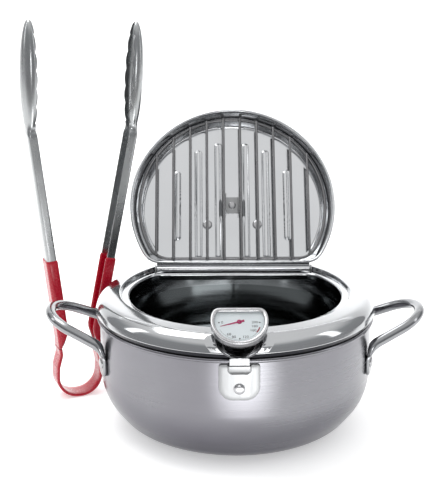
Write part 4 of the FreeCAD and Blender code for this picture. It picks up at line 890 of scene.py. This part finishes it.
button_line = [(0, -0.9), (2.8, -0.85), (3.9, -0.6), (4.4, -0.2), (4.5, 0), (2.5, 0), (2.5, 0.8),
               (0, 0.8)]
buttons = placed(joined("lid_rivet_buttons", pair_on_lid(button_line, lid_depth - lid_sheet)),
                 lid_frame)
fit(buttons, rivet_metal, "lid", "lid_handle_rivets")

# ----- rack clip
# A small channel of spring sheet riveted inside the lid. Its flanges press between the two
# middle wires of the rack and hold it.
clip_away = 66.0
clip_outline = thickened(divided(rounded([
    ((-6.1, 0.8),), ((-6.1, 13.8), 1.2), ((6.1, 13.8), 1.2), ((6.1, 0.8),)]), 3), 0.8)
clip_rings = [[(x, -clip_away + y, z) for x, z in clip_outline] for y in (-8, -7.8, 7.8, 8)]
clip = placed(skin("rack_clip_channel", clip_rings), lid_frame)
fit(clip, bright_sheet, "lid", "rack_clip")

clip_pin_line = [(0, -1.7), (2.2, -1.65), (3.1, -1.4), (3.5, -0.9), (3.5, -0.8), (2.5, -0.8),
                 (2.5, 0.8), (4.5, 0.8), (4.3, 1.3), (2.8, 1.65), (0, 1.7)]
clip_pin = turned("rack_clip_pin", clip_pin_line, 40, closed=False)
placed(clip_pin, lid_frame @ moved(0, -clip_away, lid_depth - lid_sheet))
fit(clip_pin, rivet_metal, "lid", "rack_clip_rivet")

# ----- drain rack
# Ten straight wires spot-welded under a D-shaped frame of thicker wire. It clips into the lid
# and holds food to drain over the pot.
rack_level = 4.0
frame_wire, grid_wire = 1.5, 1.2
wire_level = rack_level - frame_wire - grid_wire + 0.3
weld_level = wire_level + 1.05
rack_radius, rack_chord, rack_corner = 87, 51, 20
wire_spacing = 15.818
rack_spots = [Vector((x, y - hinge_y, z))
              for x, y, z in d_ring(rack_radius, rack_chord, rack_corner, rack_level)]
frame_rings = []
for k, spot in enumerate(rack_spots):
    ahead = (rack_spots[(k + 1) % ring_steps] - rack_spots[k - 1]).normalized()
    up = Vector((0, 0, 1))
    across = ahead.cross(up)
    frame_rings.append([spot + (across * a + up * b) * frame_wire for a, b in circle(1, 16)])
rack_frame = placed(skin("rack_frame_wire", frame_rings, closed=True), lid_frame)
rack_steel = satin_steel("rack_steel", (0.20, 0.20, 0.205), 0.16, 0.28, (200, 200, 200), 0.05,
                         blotch=60)
fit(rack_frame, rack_steel, "rack", "rack_frame")


def rod_rings_along_y(x, near, far, z, radius):
    """A straight wire with rounded ends, as rings."""
    ends = [(radius * (1 - sin(t)), radius * cos(t)) for t in (1.45, 1.1, 0.7, 0.3, 0)]
    stations = [(near + a, r) for a, r in ends] + [(far - a, r) for a, r in ends[::-1]]
    return [[(x + a, -y, z + b) for a, b in circle(r, 16)] for y, r in stations]


parts = []
corner_y = rack_chord - rack_corner
corner_x = sqrt((rack_radius - rack_corner) ** 2 - corner_y ** 2)
for index in range(10):
    x = (index - 4.5) * wire_spacing
    near = hinge_y - rack_chord
    if abs(x) > corner_x:
        near = hinge_y - corner_y - sqrt(rack_corner ** 2 - (abs(x) - corner_x) ** 2)
    far = hinge_y + sqrt(rack_radius ** 2 - x * x)
    parts.append(skin("rack_part", rod_rings_along_y(x, near - 1.8, far + 1.8, wire_level,
                                                     grid_wire)))
    for spot in (near, far):
        parts.append(skin("rack_part", [
            [(x + 0.8 * a, -spot + b, weld_level + z) for a, b in circle(radius, 12)]
            for z, radius in ((-1.1, 0.5), (-0.7, 1.7), (0, 2.1), (0.7, 1.7), (1.1, 0.5))]))
grid = placed(joined("rack_grid_wires", parts), lid_frame)
fit(grid, rack_steel, "rack", "rack_wires")

# ----- thermometer case
# A shallow D-shaped case of pressed steel. A bezel of polished steel, rolled over its rim,
# holds a flat glass.
dial_frame = moved(0, -112.4, 131) @ spun(90 - dial_elevation, "X")
dial_size = (22.5, 11.8, 7)


def dial_ring(inset, level):
    """A level ring of points round the case, moved in by an inset."""
    circle_radius, chord, corner = (size - inset for size in dial_size)
    return d_ring(circle_radius, chord, max(corner, 1.5), level)


case_rings = [dial_ring(0, level) for level in (-1.4, -3, -5)]
for k in range(6):
    turn = pi / 2 * k / 5
    case_rings.append(dial_ring(1.8 * (1 - cos(turn)), -6.2 - 1.8 * sin(turn)))
case_rings += [d_ring(10, 0, 0, -8), d_ring(2.0, 0, 0, -8), d_ring(2.0, 0, 0, -7),
               d_ring(10, 0, 0, -7), dial_ring(2.2, -7), dial_ring(1.3, -6.6),
               dial_ring(1, -5.8), dial_ring(1, -1.4)]
case = placed(skin("dial_case", case_rings, closed=True), dial_frame)
case_steel = satin_steel("case_steel", (0.28, 0.28, 0.29), 0.2, 0.34, (60, 60, 900), 0.1, blotch=60)
fit(case, case_steel, "thermometer", "thermometer_case")

bezel_rings = [dial_ring(inset, level) for inset, level in (
    (0.0, -1.4), (0.0, -0.9), (0.12, -0.5), (0.4, -0.18), (0.85, 0), (1.4, 0), (2.1, -0.12),
    (2.7, -0.4), (3.05, -0.8), (3.2, -1.4))]
bezel = placed(skin("dial_bezel", bezel_rings, closed=True), dial_frame)
bezel_steel = satin_steel("bezel_steel", (0.48, 0.48, 0.49), 0.22, 0.33, (400, 400, 400), 0.08,
                          blotch=80)
fit(bezel, bezel_steel, "thermometer", "thermometer_bezel")

glass_rings = [dial_ring(1.0, -2.2), dial_ring(1.0, -1.45)]
glass = placed(skin("dial_window", glass_rings), dial_frame)
glass_material, glass_tree, glass_shader = new_material("window_glass")
set_up(glass_shader, Transmission_Weight=1.0, IOR=1.12)
speckled(glass_tree, glass_shader, 90, Roughness=((0.45, 0.0), (0.8, 0.06)))
fit(glass, glass_material, "thermometer", "dial_glass")

# ----- dial and its scale
# A white-lacquered plate, printed in black and dark red with a scale of degrees from 0 to
# 200 round its lower edge.
dial_rings = [dial_ring(1.1, -3.7), dial_ring(1.1, -3.2), d_ring(8, 0, 0, -3.2),
              d_ring(0.7, 0, 0, -3.2), d_ring(0.7, 0, 0, -3.7), d_ring(8, 0, 0, -3.7)]
dial = placed(skin("dial_face", dial_rings, closed=True), dial_frame)
lacquer, lacquer_tree, lacquer_shader = new_material("white_lacquer")
speckled(lacquer_tree, lacquer_shader, 300,
         Base_Color=((0.3, (0.84, 0.91, 0.94)), (0.7, (0.90, 0.96, 0.98))))
# The plate also glows faintly, painted light that keeps it bright behind the glass.
set_up(lacquer_shader, Roughness=0.4, Emission_Color=(0.88, 0.96, 1.0, 1), Emission_Strength=0.2)
fit(dial, lacquer, "thermometer", "dial_plate")


def ink(name, colour):
    """Printed ink, a little thin in places."""
    material, tree, shader = new_material(name)
    faded = tuple(min(1, channel * 1.8 + 0.02) for channel in colour)
    speckled(tree, shader, 900, Base_Color=((0.4, colour), (0.75, faded)))
    set_up(shader, Roughness=0.5)
    return material


black_ink = ink("black_ink", (0.02, 0.02, 0.025))
red_ink = ink("red_ink", (0.30, 0.03, 0.05))
print_level, ink_sheet = -3.16, 0.03


def scale_angle(degrees):
    """Where a reading stands on the dial."""
    return radians(182 + 176 * degrees / 200)


def printed_arc(name, start, end, inner, outer, steps):
    """A printed band from one reading to another."""
    rings = []
    for k in range(steps + 1):
        angle = scale_angle(start + (end - start) * k / steps)
        rings.append([polar(reach, angle, level) for reach, level in (
            (inner, print_level), (outer, print_level), (outer, print_level - ink_sheet),
            (inner, print_level - ink_sheet))])
    return placed(skin(name, rings), dial_frame)


parts = [printed_arc("print_part", 26, 158, 16.75, 16.9, 60)]
for reading in (0, 100, 200):
    parts.append(printed_arc("print_part", reading - 2.2, reading + 2.2, 15.2, 16.4, 4))
scale = joined("dial_scale", parts)
fit(scale, black_ink, "thermometer")
red_band = printed_arc("dial_red_band", 160, 182, 16.0, 17.0, 16)
fit(red_band, red_ink, "thermometer")
for reading, reach in ((0, 13.4), (60, 14.3), (80, 14.9), (120, 14.9), (160, 13.2), (180, 12.4),
                       (200, 12.0)):
    angle = scale_angle(reading)
    words = bpy.data.curves.new("dial_number_%d" % reading, "FONT")
    words.body = str(reading)
    words.size = 3.3 * mm
    words.align_x = words.align_y = "CENTER"
    words.extrude = 0.01 * mm
    number_piece = bpy.data.objects.new("dial_number_%d" % reading, words)
    bpy.context.scene.collection.objects.link(number_piece)
    number_piece.matrix_world = dial_frame @ moved(*polar(reach, angle, print_level))
    fit(number_piece, black_ink, "thermometer")

# ----- needle
# A thin stamped pointer, painted dark pink, on a fine steel shaft. The spiral of bimetal in
# the stem turns it.
needle_outline = [(-4.0, -1.0), (-1.2, -0.75), (0, -0.7), (8, -0.5), (15.3, -0.15), (15.5, 0),
                  (15.3, 0.15), (8, 0.5), (0, 0.7), (-1.2, 0.75), (-4.0, 1.0)]
needle_frame = dial_frame @ spun(196, "Z")
blade = skin("needle_part", [[(x, y, level) for x, y in needle_outline]
                             for level in (-3.05, -2.8)])
hub = turned("needle_part", [(0.62, -3.05), (2.0, -3.05), (2.0, -2.85), (1.6, -2.75),
                             (0.62, -2.75)], 40)
pointer = placed(joined("needle_pointer", [blade, hub]), needle_frame)
fit(pointer, ink("needle_paint", (0.42, 0.01, 0.10)), "needle", "needle")
shaft = placed(turned("needle_spindle", [(0, -7), (0.6, -7), (0.6, -2.9), (0.4, -2.7), (0, -2.7)],
                      24, closed=False), dial_frame)
fit(shaft, rivet_metal, "needle", "needle_shaft")

# ----- stem
# A thin-walled steel tube, closed at its tip, that reaches through the cup's floor into the
# oil. The spiral inside it is out of sight.
stem_line = [(1.4, -8), (2.6, -8), (2.6, -19.4), (2.3, -19.8), (1.8, -19.8), (1.8, -99.2),
             (1.5, -99.85), (0.8, -100), (0, -100), (0, -99.6), (1.4, -99.4)]
stem = placed(turned("probe_tube", stem_line, 48), dial_frame)
fit(stem, handle_steel, "thermometer", "probe_stem")
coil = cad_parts["bimetal_coil"]
coil.data.materials.clear()
coil.data.materials.append(satin_steel("spring_strip", (0.62, 0.55, 0.45), 0.2, 0.35,
                                       (900, 900, 900), 0.05, blotch=300))

# ----- tongs: loop
# One steel strip bent round at the bottom is the spring of the tongs. Red vinyl, dipped on
# thick and glossy, covers it and the lower part of both arms.
tong_frame = moved(-146, 57, 21.81) @ spun(21.5, "Z") @ spun(2.9, "Y")
strip_half = 8.55
vinyl_over_strip = 2.9
loop_path = rounded([
    ((-18.45, 25.9),), ((-17.5, 20), 8), ((-20.3, 8), 8), ((-20.3, -20.3), 19),
    ((20.3, -20.3), 19), ((20.3, 8), 8), ((17.5, 20), 8), ((18.45, 25.9),)], step=5)
loop_path = divided(loop_path, 2.5)
strip_edge = thickened([Vector((x, 0)) for x in (-strip_half, -4.3, 0, 4.3, strip_half)],
                       vinyl_over_strip)
loop_rings = []
for i, spot in enumerate(loop_path):
    ahead = heading(loop_path, i)
    normal = Vector((-ahead.y, ahead.x))
    loop_rings.append([(spot.x + normal.x * depth, width, spot.y + normal.y * depth)
                       for width, depth in strip_edge])
loop = placed(skin("tong_loop_vinyl", loop_rings), tong_frame)
vinyl, vinyl_tree, vinyl_shader = new_material("red_vinyl")
set_up(vinyl_shader, Coat_Weight=0.25, Coat_Roughness=0.08, Specular_IOR_Level=0.35)
clouds = speckled(vinyl_tree, vinyl_shader, 45,
                  Base_Color=((0.3, (0.36, 0.002, 0.014)), (0.7, (0.46, 0.004, 0.022))),
                  Roughness=((0.3, 0.2), (0.7, 0.32)))
set_up(clouds, Detail=3)
dimple = add_node(vinyl_tree, "Bump", Strength=0.05, Distance=0.0006)
link(vinyl_tree, clouds.outputs["Fac"], dimple.inputs["Height"])
link(vinyl_tree, dimple.outputs[0], vinyl_shader.inputs["Normal"])
fit(loop, vinyl, "tongs", "tong_loop_grip")
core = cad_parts["tong_loop_core"]
core.data.materials.clear()

# ----- tongs: arms
# The strip's edges are folded in to a channel for stiffness, and each end is pressed to a
# long spoon with scalloped edges.
arm_steel = satin_steel("arm_steel", (0.40, 0.41, 0.415), 0.2, 0.34, (60, 60, 8), 0.08, blotch=30)
core.data.materials.append(arm_steel)
strip_sheet, web_shift = 0.9, -0.45
arm_spread, arm_lean, waist_height = 19.742, 9.1, 34


def channel_line(flange, half, shift):
    """The middle line of the folded strip: flange, corner, web, corner, flange."""
    bend = min(2.0, flange * 0.9)
    line = [Vector((-flange + (flange - bend) * k / 5, -half)) for k in range(5)]
    for k in range(6):
        turn = pi / 2 * k / 5
        line.append(Vector((-bend + bend * sin(turn), -half + bend - bend * cos(turn))))
    line += [Vector((0, -half + bend + (2 * half - 2 * bend) * k / 8)) for k in range(1, 4)]
    line.append(Vector((0, 0)))
    mirrored = [Vector((spot.x, -spot.y)) for spot in line[:-1][::-1]]
    return [spot + Vector((shift, 0)) for spot in line + mirrored]


head_base, head_long, head_tilt = 191.0, 101.0, radians(7.7)


def spoon_line(level, count):
    """The middle line of the spoon-shaped head at a level, its two edges scalloped."""
    share = 2 * level / head_long - 1
    round_part = sqrt(max(0.0, 1 - share * share))
    bulge, half = max(8.0 * round_part, 0.6), max(12.5 * round_part, 0.8)
    lobe = max(0, min(5, (level - 12) / 15.4))
    notch = 1.5 * (2 * abs(lobe - floor(min(lobe, 4.999)) - 0.5)) ** 2 * (0 < lobe < 5)
    reach = 4.4 * round_part ** 0.6 - notch
    tail = asin(max(-0.2, min(0.8, reach / bulge)))
    line = []
    for k in range(count):
        turn = (pi / 2 + tail) * (2 * k / (count - 1) - 1)
        line.append(Vector((bulge * cos(turn) - 4.2, half * sin(turn))))
    return line


def onto_head(x, y, level):
    """From the tilted head to the arm."""
    return Vector((x * cos(head_tilt) - level * sin(head_tilt), y,
                   head_base + x * sin(head_tilt) + level * cos(head_tilt)))


flange_tip = 7.55
for name, side in (("left", -1), ("right", 1)):
    arm_frame = tong_frame @ moved(side * arm_spread, 0, waist_height) @ spun(side * arm_lean, "Y")
    rings = []
    for along in [-4.9, -2, 1, 4, 8, 12, 20, 40, 60, 80, 100, 130, 160, 175, 182, 186, 190]:
        flange = flange_tip * softened((along + 12) / 20) + 0.3
        line = channel_line(min(flange, flange_tip), strip_half, web_shift)
        rings.append([Vector((x, y, along)) for x, y in thickened(line, strip_sheet)])
    strip = thickened(line, strip_sheet)
    for step in range(112):
        level = 0.5 + 100.1 * step / 111
        into = softened((level + 1) / 15)
        bowl = thickened(spoon_line(max(level, 7 * (1 - into)), len(line)), strip_sheet)
        rings.append([Vector((a.x, a.y, head_base + level)).lerp(onto_head(b.x, b.y, level), into)
                      for a, b in zip(strip, bowl)])
    rings = [[(side * x, y, z) for x, y, z in ring] for ring in rings]
    arm = placed(skin(name + "_arm_steel", rings, smooth_angle=50), arm_frame)
    fit(arm, arm_steel, name + "_arm", name + "_tong_arm")

    rings = []
    for along in [-7.0, -6, -5, -3, -1, 2, 5, 9, 14, 20, 30, 40, 50, 60, 70, 73, 75, 76, 76.5, 76.8,
                  76.95]:
        flange = min(flange_tip, flange_tip * softened((along + 9) / 18) + 0.02)
        shift = web_shift * softened((along + 9) / 12)
        thickness = vinyl_over_strip - 1.6 * max(0, (along - 75) / 2) ** 2
        line = channel_line(flange, strip_half, shift)
        rings.append([(side * x, y, along) for x, y in thickened(line, thickness)])
    grip = placed(skin(name + "_grip_vinyl", rings, smooth_angle=60), arm_frame)
    grip.data.materials.append(vinyl)
    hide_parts(name + "_tong_grip")
    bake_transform(grip)
